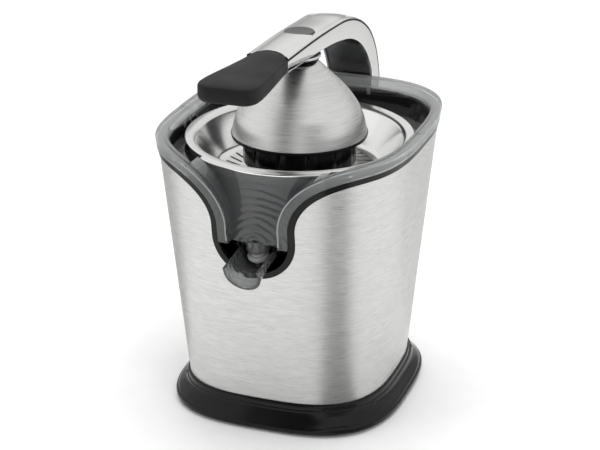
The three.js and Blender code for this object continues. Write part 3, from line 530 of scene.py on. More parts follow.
# ---------------------------------------------------------------- the body's outline


def wall_at(z):
    k = (z - WALL_LOW["z"]) / (WALL_HIGH["z"] - WALL_LOW["z"])
    return [WALL_LOW[key] + k * (WALL_HIGH[key] - WALL_LOW[key]) for key in ("a", "b", "yc")]


def outline(a, b, yc, z):
    ring = []
    for t in turns(RING_STEPS):
        c, s = math.cos(t), math.sin(t)
        r = (abs(c / a) ** ROUNDNESS + abs(s / b) ** ROUNDNESS) ** (-1 / ROUNDNESS)
        ring.append((r * c, r * s + yc, z))
    return ring


def wall_ring(z, inset):
    a, b, yc = wall_at(z)
    return outline(a - inset, b - inset, yc, z)


def wall_solid(inset, z0, z1):
    levels = max(2, round((z1 - z0) / 6))
    return loft([wall_ring(z0 + (z1 - z0) * i / levels, inset) for i in range(levels + 1)])


def wall_tube(outside, inside, z0, z1):
    return cut(wall_solid(outside, z0, z1), wall_solid(inside, z0 - 1, z1 + 1))


def arc(cx, cz, rx, rz, start, end, steps):
    """Points on an ellipse, from one angle to another in degrees."""
    sweep = [math.radians(start + (end - start) * i / steps) for i in range(steps + 1)]
    return [(cx + rx * math.cos(t), cz + rz * math.sin(t)) for t in sweep]


def notch_outline(d):
    """Everything above the front notch's edge, moved into the opening by d, as seen from the front."""
    roof = 260
    r, rx, rz = NOTCH["r"], NOTCH["rx"], NOTCH["rz"]
    top = NOTCH["flare_z"] + rz + d
    left = arc(-r - rx, NOTCH["flare_z"], rx + d, rz + d, 90, 0, 32)
    round_end = arc(0, NOTCH["zc"], r - d, r - d, 180, 360, 40)
    right = arc(r + rx, NOTCH["flare_z"], rx + d, rz + d, 180, 90, 32)
    return [(-WIDE, roof), (-WIDE, top)] + left + round_end + right + [(WIDE, top), (WIDE, roof)]


def opening(d, y0=-170, y1=0):
    return front_prism(notch_outline(d), y0, y1)


def above(d):
    """Everything above the shell's top edge, notch included."""
    return join(opening(d, -170, 6), box(-WIDE, WIDE, 5, 170, SHELL_TOP + d, 260))


# ---------------------------------------------------------------- base


def base_skirt():
    a, b, yc = 88.2, 92, 2
    feet = foot_of("base_skirt")

    def ring(inset, z):
        return outline(a - inset, b - inset, yc, z)

    rounded_low = [ring(1.2 * (1 - math.sin(t)), feet + 1.2 * (1 - math.cos(t)))
                   for t in (0, 0.4, 0.8, 1.2, math.pi / 2)]
    lip = [ring(0.3 * k, 5.6 + 0.5 * k) for k in range(3)] + [ring(1.5, 7.2)]
    flare = []
    for k in range(1, 13):
        t = k / 12
        flare.append(ring(1.5 + 6.4 * math.sin(t * math.pi / 2) ** 1.4, 7.2 + 9.8 * t))
    wa, wb, wyc = wall_at(SKIRT_TOP)
    step = [outline(wa + g, wb + g, wyc, z) for g, z in
            ((1.7, 17.6), (1.6, 20.6), (1.3, 21.1), (0.8, SKIRT_TOP - GAP))]
    outer = loft(rounded_low + lip + flare + step)
    inner = loft([ring(3.5, 0), ring(3.5, 6), ring(10.5, 16), outline(wa - 2, wb - 2, wyc, 17.2),
                  outline(wa - 2, wb - 2, wyc, 30)])
    bosses = [disc(4.6, 5.6, 16, 24, x, y) for x in (-71, 71) for y in (-46, 50)]
    holes = [disc(2, 0, 14, 24, x, y) for x in (-71, 71) for y in (-46, 50)]
    made = cut(join(cut(outer, inner), *bosses), *holes)
    finished(made, GLOSS_BLACK, "gloss_black", "base", "base_skirt")


def rubber_foot(name, x, y):
    profile = fillet([(8.2, 0), (9, 2.9), (3.3, 2.9), (3.3, 6.4)], 0.7, closed=False)
    tread = [(0, 0.5), (3, 0.5), (3.2, 0), (4.6, 0), (4.8, 0.5), (6, 0.5), (6.2, 0)]
    made = turned(tread + profile + [(0, 6.4)], 48, x, y)
    finished(made, RUBBER, "rubber", "base", name)


def housing():
    shell = cut(wall_tube(0, SHELL_T, SKIRT_TOP, SHELL_TOP + 4), above(0),
                box(-24.4, 24.4, 90, 130, 159.6, 204), gland_hole())
    finished(shell, SHELL_STEEL, "brushed_steel", "base", "housing_shell")


def gland_frame():
    """Where the cord gland sits: the wall's y there, and the wall's lean."""
    rise = WALL_HIGH["b"] + WALL_HIGH["yc"] - WALL_LOW["b"] - WALL_LOW["yc"]
    lean = math.atan2(rise, WALL_HIGH["z"] - WALL_LOW["z"])
    _, b, yc = wall_at(GLAND_Z)
    return b + yc, GLAND_Z, lean


def through_rear_wall(profile, steps=48):
    """A turned piece whose axis is square to the rear wall, from the wall's outside."""
    y, z, lean = gland_frame()
    rings = []
    for r, out in profile:
        ring = []
        for t in turns(steps):
            u, v = out, r * math.sin(t)
            ring.append((r * math.cos(t), y + u * math.cos(lean) + v * math.sin(lean),
                         z - u * math.sin(lean) + v * math.cos(lean)))
        rings.append(ring)
    return loft(rings)


def gland_hole():
    return through_rear_wall([(6.2, -8), (6.2, 8)])


def cord_gland():
    outer = through_rear_wall([(8.0, -7), (8.6, -6.4), (8.6, -1.9), (5.8, -1.9), (5.8, 0.6),
                               (8.2, 0.6), (8.6, 1.0), (8.6, 2.6), (8.2, 3.2), (7.3, 5.4), (6.6, 6)])
    made = cut(outer, through_rear_wall([(3.6, -9), (3.6, 9)]))
    finished(made, RUBBER, "rubber", "base", "cord_gland")


def edge_trim():
    band = cut(common(wall_tube(-0.7, 3.2, 118, 220), above(GAP)), above(TRIM_W))
    finished(band, GLOSS_BLACK, "gloss_black", "base", "edge_trim")


def motor_deck():
    tub = cut(wall_solid(1.9, DECK_FLOOR, 197), wall_solid(3.8, DECK_FLOOR + 2.5, 230))
    bored = cut(tub, above(0), disc(20, 100, 140))
    turret = turned([(10, DECK_FLOOR), (24, DECK_FLOOR), (24, DECK_FLOOR + 2.5), (TURRET_R, 122),
                     (TURRET_R, 165.4), (TURRET_R - 0.6, 166), (10, 166)])
    posts = [(-34, -22), (34, -22), (-34, 54), (50, 54)]
    studs = [disc(4.2, 104, DECK_FLOOR + 1, 24, x, y) for x, y in posts]
    holes = [disc(1.9, 100, 112, 24, x, y) for x, y in posts]
    made = cut(join(bored, turret, *studs), box(-24.4, 24.4, 90, 130, 159.6, 204), *holes)
    finished(made, GLOSS_BLACK, "gloss_black", "base", "motor_deck")


# ---------------------------------------------------------------- juice collector and spout


def scoop(t):
    """Space in front of the pouring panel, between its folds; t is the panel's thickness so far."""
    slope = (FUNNEL["r1"] - FUNNEL["r0"]) / (FUNNEL["z1"] - FUNNEL["z0"])
    low, high = FUNNEL["r0"] - t - 20 * slope, FUNNEL["r1"] - t + 20 * slope
    return cut(opening(VEE - t), turned([(0, 120), (low, 120), (high, 220), (0, 220)], 200))


def lip_space():
    """Room for the strainer's rim and its wider front."""
    front = box(-LIP["x"] - 1.2, LIP["x"] + 1.2, -170, 0, 190, 240)
    return join(disc(STRAINER_R + 1.2, PANEL_TOP, 230, 160),
                common(disc(LIP["r"] + 1.2, PANEL_TOP, 230, 160), front))


def brim():
    """The collector's flange: level at the sides and back, and dipping with the notch in front."""
    band = cut(common(wall_tube(-FLANGE_OUT, BOWL_INSET + 0.3, BOWL_FLOOR, FLANGE_TOP),
                      above(TRIM_W + GAP)), opening(VEE))

    def flange():
        return wall_tube(-FLANGE_OUT, FLANGE_IN, 188, FLANGE_TOP)

    front = cut(common(flange(), opening(VEE - FLANGE_T)), opening(VEE), lip_space())
    rear = common(flange(), box(-WIDE, WIDE, -0.5, 170, FLANGE_TOP - FLANGE_T, 230))
    level_groove = common(wall_tube(GROOVE["out"], GROOVE["in"], 180, 240),
                          box(-WIDE, WIDE, -1, 170, FLANGE_TOP - GROOVE["deep"], 240))
    front_groove = common(wall_tube(GROOVE["out"], GROOVE["in"], 160, 240),
                          opening(VEE - GROOVE["deep"]))
    return cut(join(band, front, rear), level_groove, front_groove)


def collector():
    outer = cut(wall_solid(BOWL_INSET, BOWL_FLOOR, FLANGE_TOP - 1), scoop(0))
    well = cut(wall_solid(BOWL_INSET + 2, BOWL_FLOOR + 2.4, 230), scoop(2))
    over_panel = common(opening(VEE), box(-WIDE, WIDE, -170, 0, PANEL_TOP, 230))
    corners = wall_solid(BOWL_INSET + 2, CORNER_TOP, 230)
    tub = cut(outer, well, over_panel, lip_space(), corners, disc(TURRET_R + 1.5, 100, 160))
    front_gap = box(-46, 46, -140, 0, 150, 230)
    shelf = cut(wall_solid(BOWL_INSET + 1, SHELF_Z - 2, SHELF_Z), disc(SEAT_R, 150, 230, 160))
    seat_top = STRAINER_TOP - 2.8
    seat = turned([(SEAT_R, SHELF_Z - 2), (SEAT_R + 2, SHELF_Z - 2), (SEAT_R + 2, seat_top),
                   (SEAT_R, seat_top)], 160)
    tube = turned([(TURRET_R + 1.5, BOWL_FLOOR), (TURRET_R + 3.5, BOWL_FLOOR),
                   (TURRET_R + 3.5, 168.2), (TURRET_R + 1.5, 168.2)])
    nozzle = disc(DRAIN["r"] + 2.5, DRAIN["z"], BOWL_FLOOR + 1, 48, 0, DRAIN["y"])
    ears = []
    for x in (-EAR_X, EAR_X):
        plate = box(x - 1.3, x + 1.3, SPOUT_Y - 6, SPOUT_Y + 6, SPOUT_Z - 6, BOWL_FLOOR + 1)
        ears.append(cut(plate, rod(2.6, x - 3, x + 3, SPOUT_Y, SPOUT_Z)))
    made = cut(join(tub, brim(), cut(join(shelf, seat), front_gap), tube, nozzle, *ears),
               disc(DRAIN["r"], 130, BOWL_FLOOR + 2.5, 48, 0, DRAIN["y"]))
    # The bead along each fold is drawn in pale smoke, a painted highlight on the fold line.
    ridge = cut(common(wall_tube(-FLANGE_OUT - 0.5, 0, 150, 206), above(VEE - 1)), opening(VEE))
    finished(common(ridge, box(-62, 62, -140, -50, 152, 206)), SMOKE_PAINTED_HIGHLIGHT, "smoke_plastic", "base",
             name="collector_fold")
    made = finished(made, SMOKE_DARK, "smoke_plastic", "base", "juice_collector", name="collector")
    # The front stretch and the flange top take the smoke with the painted satin reflection.
    two_tone(made, SMOKE_PAINTED_SHEEN, lambda centre: in_front(centre) or centre.z > 203.5 * MM)


# Cross-sections of the spout from its rear wall to its lip: y, bottom, top, lean of the face.
SPOUT_RUN = [(-73, 130.5, 144.6, 0), (-82, 130.1, 144.5, 0), (-90, 129.8, 144.2, 0),
             (-96, 129.5, 143.7, 0.2), (-100, 128.8, 143.2, 1.2), (-104, 127.1, 142.7, 3),
             (-108, 124.9, 142.1, 5.8), (-111, 123.0, 141.6, 9.4)]


def spout_solid(t):
    rings = []
    for i, (y, low, high, lean) in enumerate(SPOUT_RUN):
        w = SPOUT_W - t
        drop = min(w, (high - low) * 0.8)
        ring = arc(0, low + t + drop, w, drop, 180, 360, 40)
        roof = high + (2 if t else 0)
        first, last = t and i == 0, t and i == len(SPOUT_RUN) - 1
        shift = (-t if first else 0) + (-4 if last else 0)
        section = [(-w, roof)] + ring + [(w, roof)]
        rings.append([(x, y + shift - lean * (z - low) / (high - low), z) for x, z in section])
    return loft(rings)


def spout():
    trough = cut(spout_solid(0), spout_solid(1.8))
    hub = rod(4.2, -16, 16, SPOUT_Y, SPOUT_Z)
    post = disc(3, 130.5, 138, 24, 0, DRAIN["y"])
    made = cut(join(trough, hub, post), rod(2.5, -20, 20, SPOUT_Y, SPOUT_Z))
    finished(made, SMOKE_SPOUT, "smoke_plastic", "spout", "spout")


def drip_seal():
    """Flat under the drain once the spout is tipped up, so it leans by that angle at rest."""
    corners = [(5.4, -5), (7.6, -3), (7.6, -0.3), (4.8, 0), (4.4, 1.2)]
    seated = [(0, -5)] + fillet(corners, 0.5, closed=False) + [(0, 1.4)]
    made = turned([(r, DRAIN["z"] + h) for r, h in seated], 48, 0, DRAIN["y"])
    pivot = Vector((0, (SPOUT_Y + AXIS_Y) * MM, SPOUT_Z * MM))
    turn = Matrix.Rotation(math.radians(SPOUT_LIFT), 4, "X")
    made.data.transform(Matrix.Translation(pivot) @ turn @ Matrix.Translation(-pivot))
    made = cut(made, disc(3.3, 120, 138.2, 24, 0, DRAIN["y"]))
    finished(made, SILICONE, "silicone", "spout", "drip_seal")


# ---------------------------------------------------------------- strainer and cone


def strainer():
    top = STRAINER_TOP
    under = [(27, 172), (56, 174), (62, 176), (77.4, 199.2), (STRAINER_R - 0.6, 200)]
    rim = [(STRAINER_R, 200.6), (STRAINER_R, 201.6), (STRAINER_R - 0.8, top), (78.2, top - 0.6)]
    inside = [(76, 199.8), (61, 177.2), (56, 175.2), (27, 173.2), (25.5, 178.2), (24.3, 178.2),
              (25.6, 172)]
    dish = turned(fillet(under + rim + inside, 2.2, 5), 180)
    lip = turned(fillet([(82, LIP["z0"]), (LIP["r"], LIP["z0"]), (LIP["r"], LIP["z1"]),
                         (82, LIP["z1"])], 0.5), 180)
    lip = common(lip, box(-LIP["x"], LIP["x"], -100, 0, 190, 210))
    slots = []
    for i in range(SLOT["count"]):
        turn = Matrix.Rotation(2 * math.pi * i / SLOT["count"], 4, "Z")
        shift = Matrix.Translation((SLOT["r"], 0, 0)) @ Matrix.Rotation(-SLOT["lean"], 4, "Z")
        middle, half = SLOT["long"] / 2 - SLOT["wide"] / 2, SLOT["wide"] / 2
        ends = arc(middle, 0, half, half, -90, 90, 8) + arc(-middle, 0, half, half, 90, 270, 8)
        slots.append([(turn @ shift @ Vector((u, v, 0))).xy for u, v in ends])
    cutters = [plan_prism([tuple(p) for p in slot], 165, 182) for slot in slots]
    finished(cut(join(dish, lip), *cutters), MIRROR, "polished_steel", "base", "strainer")


def cone():
    skirt_r, lobes, flutes, lobes_z = 41.5, 10, 12, 203.5
    outside = spline([(36.6, 203), (33.0, 210), (27.5, 221), (20.5, 232), (11, 241), (3.4, 245)], 8)
    skirt = fillet([(38.5, 181), (skirt_r, 181), (skirt_r, 199.5), (36.6, 203)], 1.2, closed=False)
    inside = [(0, 236), (10, 236), (19.5, 227), (28, 213), (32, 202), (38.5, 198)]

    def swell(t, r, z):
        if z > lobes_z:
            return 1 - 0.05 * (0.5 + 0.5 * math.cos(lobes * t)) * min(1, (z - lobes_z) / 8)
        if r > 39 and 182.5 < z < 199:
            return 1 - 0.022 * max(0, math.cos(flutes * t)) ** 10
        return 1

    rows = [(skirt_r, z) for z in (183, 184, 188, 193, 197, 198.4)]
    profile = inside + skirt[:-9] + rows + skirt[-9:] + outside[1:] + [(0, 245.3)]
    body = turned(profile, 240, wave=swell)
    made = cut(join(body, disc(9.5, 170, 238, 40)), disc(5.3, 150, 186, 6))
    finished(made, GLOSS_BLACK, "gloss_black", "reamer", "reamer_cone")


def shaft():
    shape = join(disc(3.2, 92.8, 103.5), disc(5, 103, 117, 6), disc(5.6, 116.5, 167.6),
                 turned([(0, 167), (5, 167), (5, 184), (3.5, 185.4), (0, 185.4)], 6))
    finished(shape, ZINC, "zinc", "reamer", "drive_shaft")


def return_spring():
    """Spring under the sliding cup, drawn at rest length; the cone squeezes it when pressed."""
    radius, wire, coils, steps = 4.6, 0.5, 4, 200
    foot, top = foot_of("return_spring") + 0.05, top_of("return_spring") - 0.05
    rings = []
    for i in range(steps + 1):
        t = i / steps
        angle = 2 * math.pi * coils * t
        rise = min(1, max(0, (t - 0.12) / 0.76))
        z = foot + wire + (top - foot - 2 * wire) * (0.12 * t + 0.88 * rise)
        rings.append([((radius + wire * math.cos(a)) * math.cos(angle),
                       (radius + wire * math.cos(a)) * math.sin(angle),
                       z + wire * math.sin(a)) for a in turns(14)])
    made = finished(loft(rings), STEEL_WIRE, "spring_steel", "base", "return_spring",
                    sharp=60)
    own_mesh(made)


def seal():
    made = turned(fillet([(6, 162.5), (9.6, 162.5), (9.6, 164.5), (7, 166.6), (6, 166.6)], 0.4), 64)
    finished(made, RUBBER, "rubber", "base", "shaft_seal")


# ---------------------------------------------------------------- lever arm

ARM_OUTER = [(-66, 276.3), (-13, 275.4), (34, 273.4), (60, 271.4), (82, 266.4), (101, 257.6),
             (115, 246.5), (126, 231), (133, 213), (136.6, 196), (137.3, 182)]
ARM_INNER = [(-66, 267.6), (-13, 264.8), (26, 262.2), (52, 258.8), (70, 255), (86, 248.5),
             (99, 239.5), (110, 227), (117, 214.5), (119.7, 199), (119.7, 182)]
OUTER_LINE = spline(ARM_OUTER, 9)
INNER_LINE = spline(ARM_INNER, 9)


def arm_frames(t0=0.0, t1=1.0):
    """Cross-section frames along the arm: edge points, outward direction and half-width."""
    last = len(OUTER_LINE) - 1
    for i in range(round(t0 * last), round(t1 * last) + 1):
        t = i / last
        outer, inner = Vector(OUTER_LINE[i]), Vector(INNER_LINE[i])
        k = min(1, max(0, (t - 0.1) / 0.7))
        width = ARM_FRONT + (ARM_REAR - ARM_FRONT) * k * k * (3 - 2 * k)
        yield outer, inner, (outer - inner).normalized(), width


def arm_bar(section, t0=0.0, t1=1.0):
    """A bar along the arm. section(width) gives corners as (x, distance outwards, edge)."""
    rings = []
    for outer, inner, out, width in arm_frames(t0, t1):
        ring = []
        for x, d, edge in section(width):
            at = (outer if edge == "outer" else inner) + out * d
            ring.append((x, at.x, at.y))
        rings.append(ring)
    return loft(rings)


def raised(made):
    """Turns a piece up about the grip's rear end, as the grip is."""
    pivot = Vector((0, (-66 + AXIS_Y) * MM, 270 * MM))
    turn = Matrix.Rotation(math.radians(-GRIP_RISE), 4, "X")
    made.data.transform(Matrix.Translation(pivot) @ turn @ Matrix.Translation(-pivot))
    return made


def grip_side(y, gap):
    """Everything on one side of the arc where grip and arm meet, from y."""
    ends, middle, half = -66 + gap, -50 + gap, 15.5
    meeting = [(half * (2 * k / 24 - 1), ends + 2 * k / 24 * (1 - k / 24) * (middle - ends))
               for k in range(25)]
    return raised(plan_prism([(-30, y), (-30, ends)] + meeting + [(30, ends), (30, y)], 240, 310))


def grip_room():
    return grip_side(-170, GAP)


def arm_foot():
    """Cover and seam stop above this."""
    return box(-30, 30, 110, 160, 160, 184.5)


def lever():
    def bar(w):
        return [(-w + 1.4, 0, "inner"), (w - 1.4, 0, "inner"), (w - 0.4, 0.4, "inner"),
                (w, 1.4, "inner"), (w, -0.3, "outer"), (-w, -0.3, "outer"), (-w, 1.4, "inner"),
                (-w + 0.4, 0.4, "inner")]

    def channel(w):
        w -= 2.2
        return [(-w, -4, "inner"), (w, -4, "inner"), (w, -2.4, "outer"), (-w, -2.4, "outer")]

    def cover(w):
        edge = [(w, 1.5), (w, 1.9), (w * 0.97, 2.3), (w * 0.9, 2.75)]
        crown = [(w * k, 1 + COVER_CROWN * (1 - 0.98 * k**2.6)) for k in (0.8, 0.65, 0.5, 0.35, 0.2, 0)]
        right = edge + crown
        left = [(-x, d) for x, d in right[:-1]][::-1]
        return [(x, d, "outer") for x, d in [(-w, 1.5)] + right + left[1:-1]]

    def seam(w):
        w -= 0.25
        return [(-w, -0.2, "outer"), (w, -0.2, "outer"), (w, 1.4, "outer"), (-w, 1.4, "outer")]

    def lining(w):
        w -= 2.5
        return [(-w, 1.2, "inner"), (w, 1.2, "inner"), (w, 3, "inner"), (-w, 3, "inner")]

    tongue = raised(box(-9, 9, -112, -50, 267.8, 273.2))
    cheeks = rod(8.5, -ARM_REAR, ARM_REAR, PIVOT_Y, PIVOT_Z)
    below = box(-ARM_REAR + 2.2, ARM_REAR - 2.2, 100, 142, 160, 199)
    made = cut(join(cut(arm_bar(bar), grip_room()), cheeks, tongue), arm_bar(channel, 0.06), below,
               rod(HINGE["seat"], -30, 30, PIVOT_Y, PIVOT_Z),
               rod(2.9, -DOME_SOCKET, DOME_SOCKET, 0, DOME_PIVOT_Z),
               disc(BUTTON_R + 0.4, 268, 290))
    made = finished(made, CHROME, "chrome", "lever", "arm_frame")
    two_tone(made, SOFT_BLACK, lambda centre: abs(centre.x) < DOME_SOCKET * MM and centre.y < 60 * MM)
    made = cut(arm_bar(cover), grip_room(), disc(BUTTON_R + 0.4, 250, 300), arm_foot())
    finished(made, CHROME, "chrome", "lever", "arm_top_cover", sharp=34)
    made = cut(arm_bar(seam), grip_room(), disc(BUTTON_R + 1.2, 250, 300), arm_foot())
    finished(made, SOFT_BLACK, "soft_black", "lever", "arm_seam")
    made = arm_bar(lining, 0.36, 0.9)
    finished(made, DARK_CHROME, "gloss_black", "lever", "arm_inner_cover")


# Cross-sections of the grip: y, half-width, bottom, top of the side, crown of the top.
GRIP_RUN = [(-48, 15.5, 266.2, 277.6, 2.9), (-66, 15.5, 266.2, 277.6, 2.9), (-92, 18.0, 264.8, 277.0, 2.0),
            (-118, 20.7, 263.8, 276.6, 1.2), (-131, 21.5, 263.5, 276.3, 0.9),
            (-138, 20.9, 263.6, 276.0, 0.8), (-143, 18.4, 264.0, 275.5, 0.6),
            (-146, 14.2, 264.9, 274.6, 0.4), (-147, 10.4, 266.2, 273.0, 0.2)]


def grip():
    rings = []
    for y, w, low, high, crown in spline(GRIP_RUN, 7):
        under = min(5, (high - low) * 0.5)
        half = [(w * 0.5, low)] + arc(w - under, low + under, under, under, 270, 360, 8)
        half += arc(w - 2.2, high - 2.2, 2.2, 2.2, 0, 78, 7)
        half += [(w * k, high + crown * (1 - k**2)) for k in (0.8, 0.66, 0.5, 0.33, 0.17)]
        others = [(-x, z) for x, z in half][::-1]
        rings.append([(x, y, z) for x, z in half + [(0, high + crown)] + others])
    pocket = box(-9.3, 9.3, -112.3, -40, 267.5, 273.5)
    made = raised(cut(loft(rings), pocket, disc(1.9, 255, 270, 32, 0, -96),
                      disc(3.6, 255, 265.6, 32, 0, -96)))
    finished(cut(made, grip_side(-20, 0)), SOFT_BLACK, "soft_black", "lever", "grip",
             sharp=50)


def button():
    rim = fillet([(7.4, 275.6), (8, 273.4), (BUTTON_R, 273.4), (BUTTON_R, 279), (9.6, 279),
                  (5, 278.3)], 0.5, closed=False)
    made = turned([(0, 275.6)] + rim + [(0, 278.2)], 96)
    finished(made, BUTTON_GREY, "soft_black", "button", "release_button")


# ---------------------------------------------------------------- dome

DOME_LINE = spline([(49.8, DOME_RIM_Z), (48.9, 207.5), (46.6, 216.5), (42.6, 225), (34.6, 236),
                    (24.4, 246.5), (15.4, 255.4)], 8)


def dome():
    skin = 1.2
    inner = [(r - skin, max(DOME_RIM_Z, z - skin * 0.7)) for r, z in DOME_LINE][::-1]
    top = [(13, 257.0), (11, 257.9), (9, 258.2), (9, 257)]
    made = turned(DOME_LINE + top + inner, 192)
    finished(made, DOME_STEEL, "brushed_steel", "dome", "dome_shell")

    line = DOME_LINE[:-8]
    out = [(r - 1.7, max(DOME_RIM_Z, z - 1.5)) for r, z in line]
    back = [(r - 2, max(DOME_RIM_Z - 2.4, z - 1.6)) for r, z in out][::-1]
    lip = fillet([(50.0, DOME_RIM_Z - 2.4), (50.4, DOME_RIM_Z - GAP), (48.2, DOME_RIM_Z - GAP)],
                 0.4, closed=False)
    made = turned(lip + out[1:] + [(8, 255.2), (8, 252.6)] + back, 160)
    finished(made, GLOSS_BLACK, "gloss_black", "dome", "dome_liner")


def neck():
    foot = fillet([(14.4, 258.8), (14.6, 259.7), (14.2, 260)], 0.3, closed=False)
    rim = fillet([(14.9, 260), (15.8, 260.7), (15.8, 262.2), (10, 262.2)], 0.5, closed=False)
    cup = turned([(0, 258.8)] + foot + rim + [(0, 262.2)], 96)
    eye = join(rod(4.6, -5, 5, 0, DOME_PIVOT_Z), box(-5, 5, -4.6, 4.6, 261, DOME_PIVOT_Z))
    made = cut(join(cup, eye, disc(7.6, 254, 259.4)), rod(2.9, -20, 20, 0, DOME_PIVOT_Z))
    made = finished(made, NECK_METAL, "brushed_steel", "dome", "dome_neck")
    two_tone(made, GLOSS_BLACK, lambda centre: centre.z < 260.05 * MM)
    made = turned([(8.4, 255.6), (8.4, 256.8), (8, 256.9), (8, 255.4)], 64)
    finished(made, SOFT_BLACK, "soft_black", "dome", "dome_clip")
    made = rod(2.5, -13.9, 13.9, 0, DOME_PIVOT_Z)
    finished(made, ZINC, "zinc", "lever", "dome_pin")


# ---------------------------------------------------------------- lever hinge


def hinge():
    def pad(z):
        _, b, yc = wall_at(z)
        y = b + yc
        corners = [(-24, y - 3.6), (24, y - 3.6), (24, y + 2.4), (16, y + 4.4), (-16, y + 4.4),
                   (-24, y + 2.4)]
        return [(u, v, z) for u, v in fillet(corners, 1.2)]

    web = box(-16, 16, 109, 124, 179, 193)
    nose = join(rod(7, -16, 16, PIVOT_Y, PIVOT_Z), box(-16, 16, 122, PIVOT_Y, PIVOT_Z - 7, PIVOT_Z + 7))
    made = cut(join(loft([pad(160), pad(199)]), web, nose), rod(HINGE["bore"], -30, 30, PIVOT_Y, PIVOT_Z))
    finished(made, SOFT_BLACK, "soft_black", "base", "hinge_bracket")
    made = rod(HINGE["pin"], -ARM_REAR - 1, ARM_REAR + 1, PIVOT_Y, PIVOT_Z)
    finished(made, ZINC, "zinc", "base", "lever_pin")
    for name, side in (("left", -1), ("right", 1)):
        x0, x1 = sorted((side * (ARM_REAR - 2.1), side * (ARM_REAR - 0.1)))
        made = cut(rod(HINGE["bush"], x0, x1, PIVOT_Y, PIVOT_Z),
                   rod(HINGE["bore"], x0 - 1, x1 + 1, PIVOT_Y, PIVOT_Z))
        finished(made, NYLON, "nylon", "lever", f"lever_bush_{name}")
        flat, domed = side * (ARM_REAR + 0.3), side * (ARM_REAR + 2.6)
        rings = []
        for r, x in ((7.6, flat), (7.6, domed - side * 0.8), (7.3, domed - side * 0.35),
                     (6.6, domed - side * 0.08), (5.6, domed)):
            rings.append([(x, PIVOT_Y + r * math.cos(t), PIVOT_Z + r * math.sin(t)) for t in turns(64)])
        hole = rod(HINGE["bore"], *sorted((flat - side, flat + side * 1.1)), PIVOT_Y, PIVOT_Z)
        finished(cut(loft(rings), hole), CHROME, "chrome", "base", f"lever_cap_{name}")


# ---------------------------------------------------------------- assembly

base_skirt()
FEET = {"front_left": (-58, -58), "front_right": (58, -58), "rear_left": (-58, 62),
        "rear_right": (58, 62)}
for where, (x, y) in FEET.items():
    rubber_foot("foot_" + where, x, y)
housing()
cord_gland()
edge_trim()
motor_deck()
collector()
spout()
drip_seal()
strainer()
cone()
shaft()
return_spring()
seal()
lever()
grip()
button()
dome()
neck()
hinge()

# Pieces inside the body keep their CAD shapes.
INSIDE = {GLOSS_BLACK: ("base_plate", "motor_end_cap", "gear_plate", "start_switch"),
          ZINC: ("idler_axle", "motor_rotor", "motor_can", "spout_pin"),
          NYLON: ("output_gear", "idler_gear", "press_carrier", "switch_actuator"),
          BRASS: ("shaft_bush", "motor_pinion")}
for name, piece in frame["nodes"].items():
    if "screw" in name:
        piece.data.materials.clear()
        piece.data.materials.append(ZINC)
for material, names in INSIDE.items():
    for name in names:
        mesh = frame["nodes"][name].data
        mesh.materials.clear()
        mesh.materials.append(material)

# ---------------------------------------------------------------- camera and studio


def placed(thing, where, towards):
    """Puts a camera or light somewhere and turns it towards a point, both in metres."""
    thing.location = where
    thing.rotation_euler = (Vector(towards) - Vector(where)).to_track_quat("-Z", "Y").to_euler()


AZIMUTH, ELEVATION, ROLL = math.radians(19.79), math.radians(22.51), math.radians(-0.12)
back = Vector((math.sin(AZIMUTH) * math.cos(ELEVATION), -math.cos(AZIMUTH) * math.cos(ELEVATION),
               math.sin(ELEVATION)))
camera = bpy.data.objects.new("camera", bpy.data.cameras.new("camera"))
bpy.context.scene.collection.objects.link(camera)
camera.location = (0.4010, -1.1112, 0.6190)
turn = back.to_track_quat("Z", "Y").to_matrix().to_4x4() @ Matrix.Rotation(ROLL, 4, "Z")
camera.rotation_euler = turn.to_euler()
camera.data.lens = 102.6
camera.data.sensor_width = 36
bpy.context.scene.camera = camera

floor_mesh = bpy.data.meshes.new("floor")
floor_mesh.from_pydata([(-6, -6, 0), (6, -6, 0), (6, 6, 0), (-6, 6, 0)], [], [(0, 1, 2, 3)])
floor = link("floor", floor_mesh)
pale, tree, shader = new_material("floor_paper", (0.93, 0.93, 0.93), 0.6)
paper = noise(tree, stretched(tree, (1, 1, 1)), 40, 3)
tree.links.new(tint(tree, paper, (0.92, 0.92, 0.92), (0.94, 0.94, 0.94)), shader.inputs["Base Color"])
floor_mesh.materials.append(pale)


def softbox(name, where, towards, width, height, power):
    light = bpy.data.lights.new(name, "AREA")
    light.shape = "RECTANGLE"
    light.size, light.size_y = width, height
    light.energy = power
    lamp = bpy.data.objects.new(name, light)
    bpy.context.scene.collection.objects.link(lamp)
    lamp.visible_glossy = False
    placed(lamp, where, towards)


CENTRE = (0, 0, 0.14)
softbox("key", (1.3, -1.2, 0.9), CENTRE, 0.9, 1.1, 5)
softbox("fill", (-1.35, -0.85, 0.7), CENTRE, 0.8, 1.0, 4)
softbox("top", (0.0, 0.2, 1.7), CENTRE, 1.6, 1.6, 20)


def flag(name, start, end, near, far, height, shade):
    """A dark card that only shows in reflections: on the floor across a sector, then upright."""
    steps = 12
    sector = [math.radians(start + (end - start) * i / steps) for i in range(steps + 1)]
    points = []
    for r, z in ((near, 0.002), (far, 0.002), (far, height)):
        points += [(r * math.sin(t), -r * math.cos(t), z) for t in sector]
    faces = [(k * (steps + 1) + i, k * (steps + 1) + i + 1, (k + 1) * (steps + 1) + i + 1,
              (k + 1) * (steps + 1) + i) for k in range(2) for i in range(steps)]
    mesh = bpy.data.meshes.new(name)
    mesh.from_pydata(points, [], faces)
    card = link(name, mesh)
    material, _, card_shader = new_material(name, (shade, shade, shade), 1.0)
    card_shader.inputs["Specular IOR Level"].default_value = 0
    mesh.materials.append(material)
    for kind in ("camera", "diffuse", "shadow", "transmission", "volume_scatter"):
        setattr(card, "visible_" + kind, False)


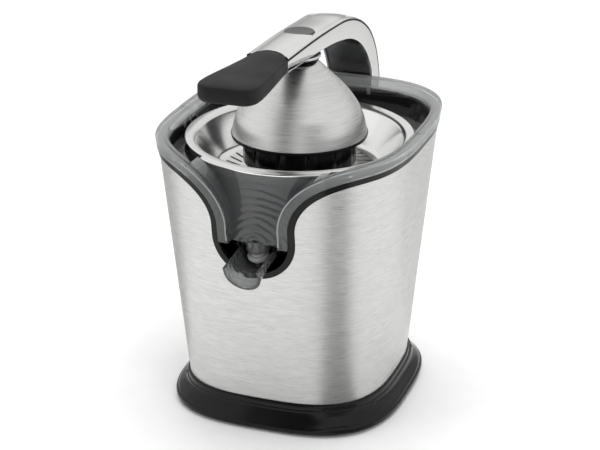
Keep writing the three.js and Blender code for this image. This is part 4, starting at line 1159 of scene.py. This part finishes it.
flag("flag_right", 28, 58, 0.10, 1.4, 1.2, 0.3)
flag("flag_behind", 140, 176, 0.14, 1.2, 0.02, 0.6)
flag("flag_left", -172, -80, 0.10, 1.0, 0.05, 0.42)

world = bpy.data.worlds.new("studio")
bpy.context.scene.world = world
world.use_nodes = True
sky = world.node_tree
facing = node(sky, "ShaderNodeTexCoord")
parts = node(sky, "ShaderNodeSeparateXYZ")
sky.links.new(facing.outputs["Generated"], parts.inputs[0])
# The bearing comes from the direction's x alone, so a strip keeps its width overhead.
across = parts.outputs["X"]
forward = maths(sky, "MULTIPLY", maths(sky, "MULTIPLY", maths(sky, "SIGN", parts.outputs["Y"]), -1),
                maths(sky, "SQRT", maths(sky, "SUBTRACT", 1, maths(sky, "MULTIPLY", across, across))))
share = remap(sky, maths(sky, "ARCTAN2", across, forward), 0, 1, -math.pi, math.pi)
ramp = node(sky, "ShaderNodeValToRGB")
sky.links.new(share, ramp.inputs["Fac"])
sky.links.new(ramp.outputs["Color"], sky.nodes["Background"].inputs["Color"])
# Brightness of the studio by bearing: degrees to the right of the front.
BEARINGS = [(-180, 0.8), (-120, 0.9), (-60, 1.0), (-23, 0.95), (-18, 0.02), (5, 0.02), (11, 0.9),
            (30, 1.0), (60, 0.85), (100, 1.0), (150, 0.8), (180, 0.8)]
stops = ramp.color_ramp.elements
while len(stops) < len(BEARINGS):
    stops.new(0.5)
for stop, (degrees, _) in zip(stops, BEARINGS):
    stop.position = (degrees + 180) / 360
for stop, (_, shade) in zip(stops, BEARINGS):
    stop.color = (shade, shade, shade, 1)
# Low down behind, the studio is dimmer, for a soft change of tone along the arm's bend.
horizon = remap(sky, parts.outputs["Z"], 0.5, 1, 0.02, 0.34)
horizon.node.interpolation_type = "SMOOTHSTEP"
front = remap(sky, parts.outputs["Y"], 0, 1, 0.6, 0.2)
sky.links.new(maths(sky, "MAXIMUM", horizon, front), sky.nodes["Background"].inputs["Strength"])
bpy.context.scene.view_settings.view_transform = "Standard"
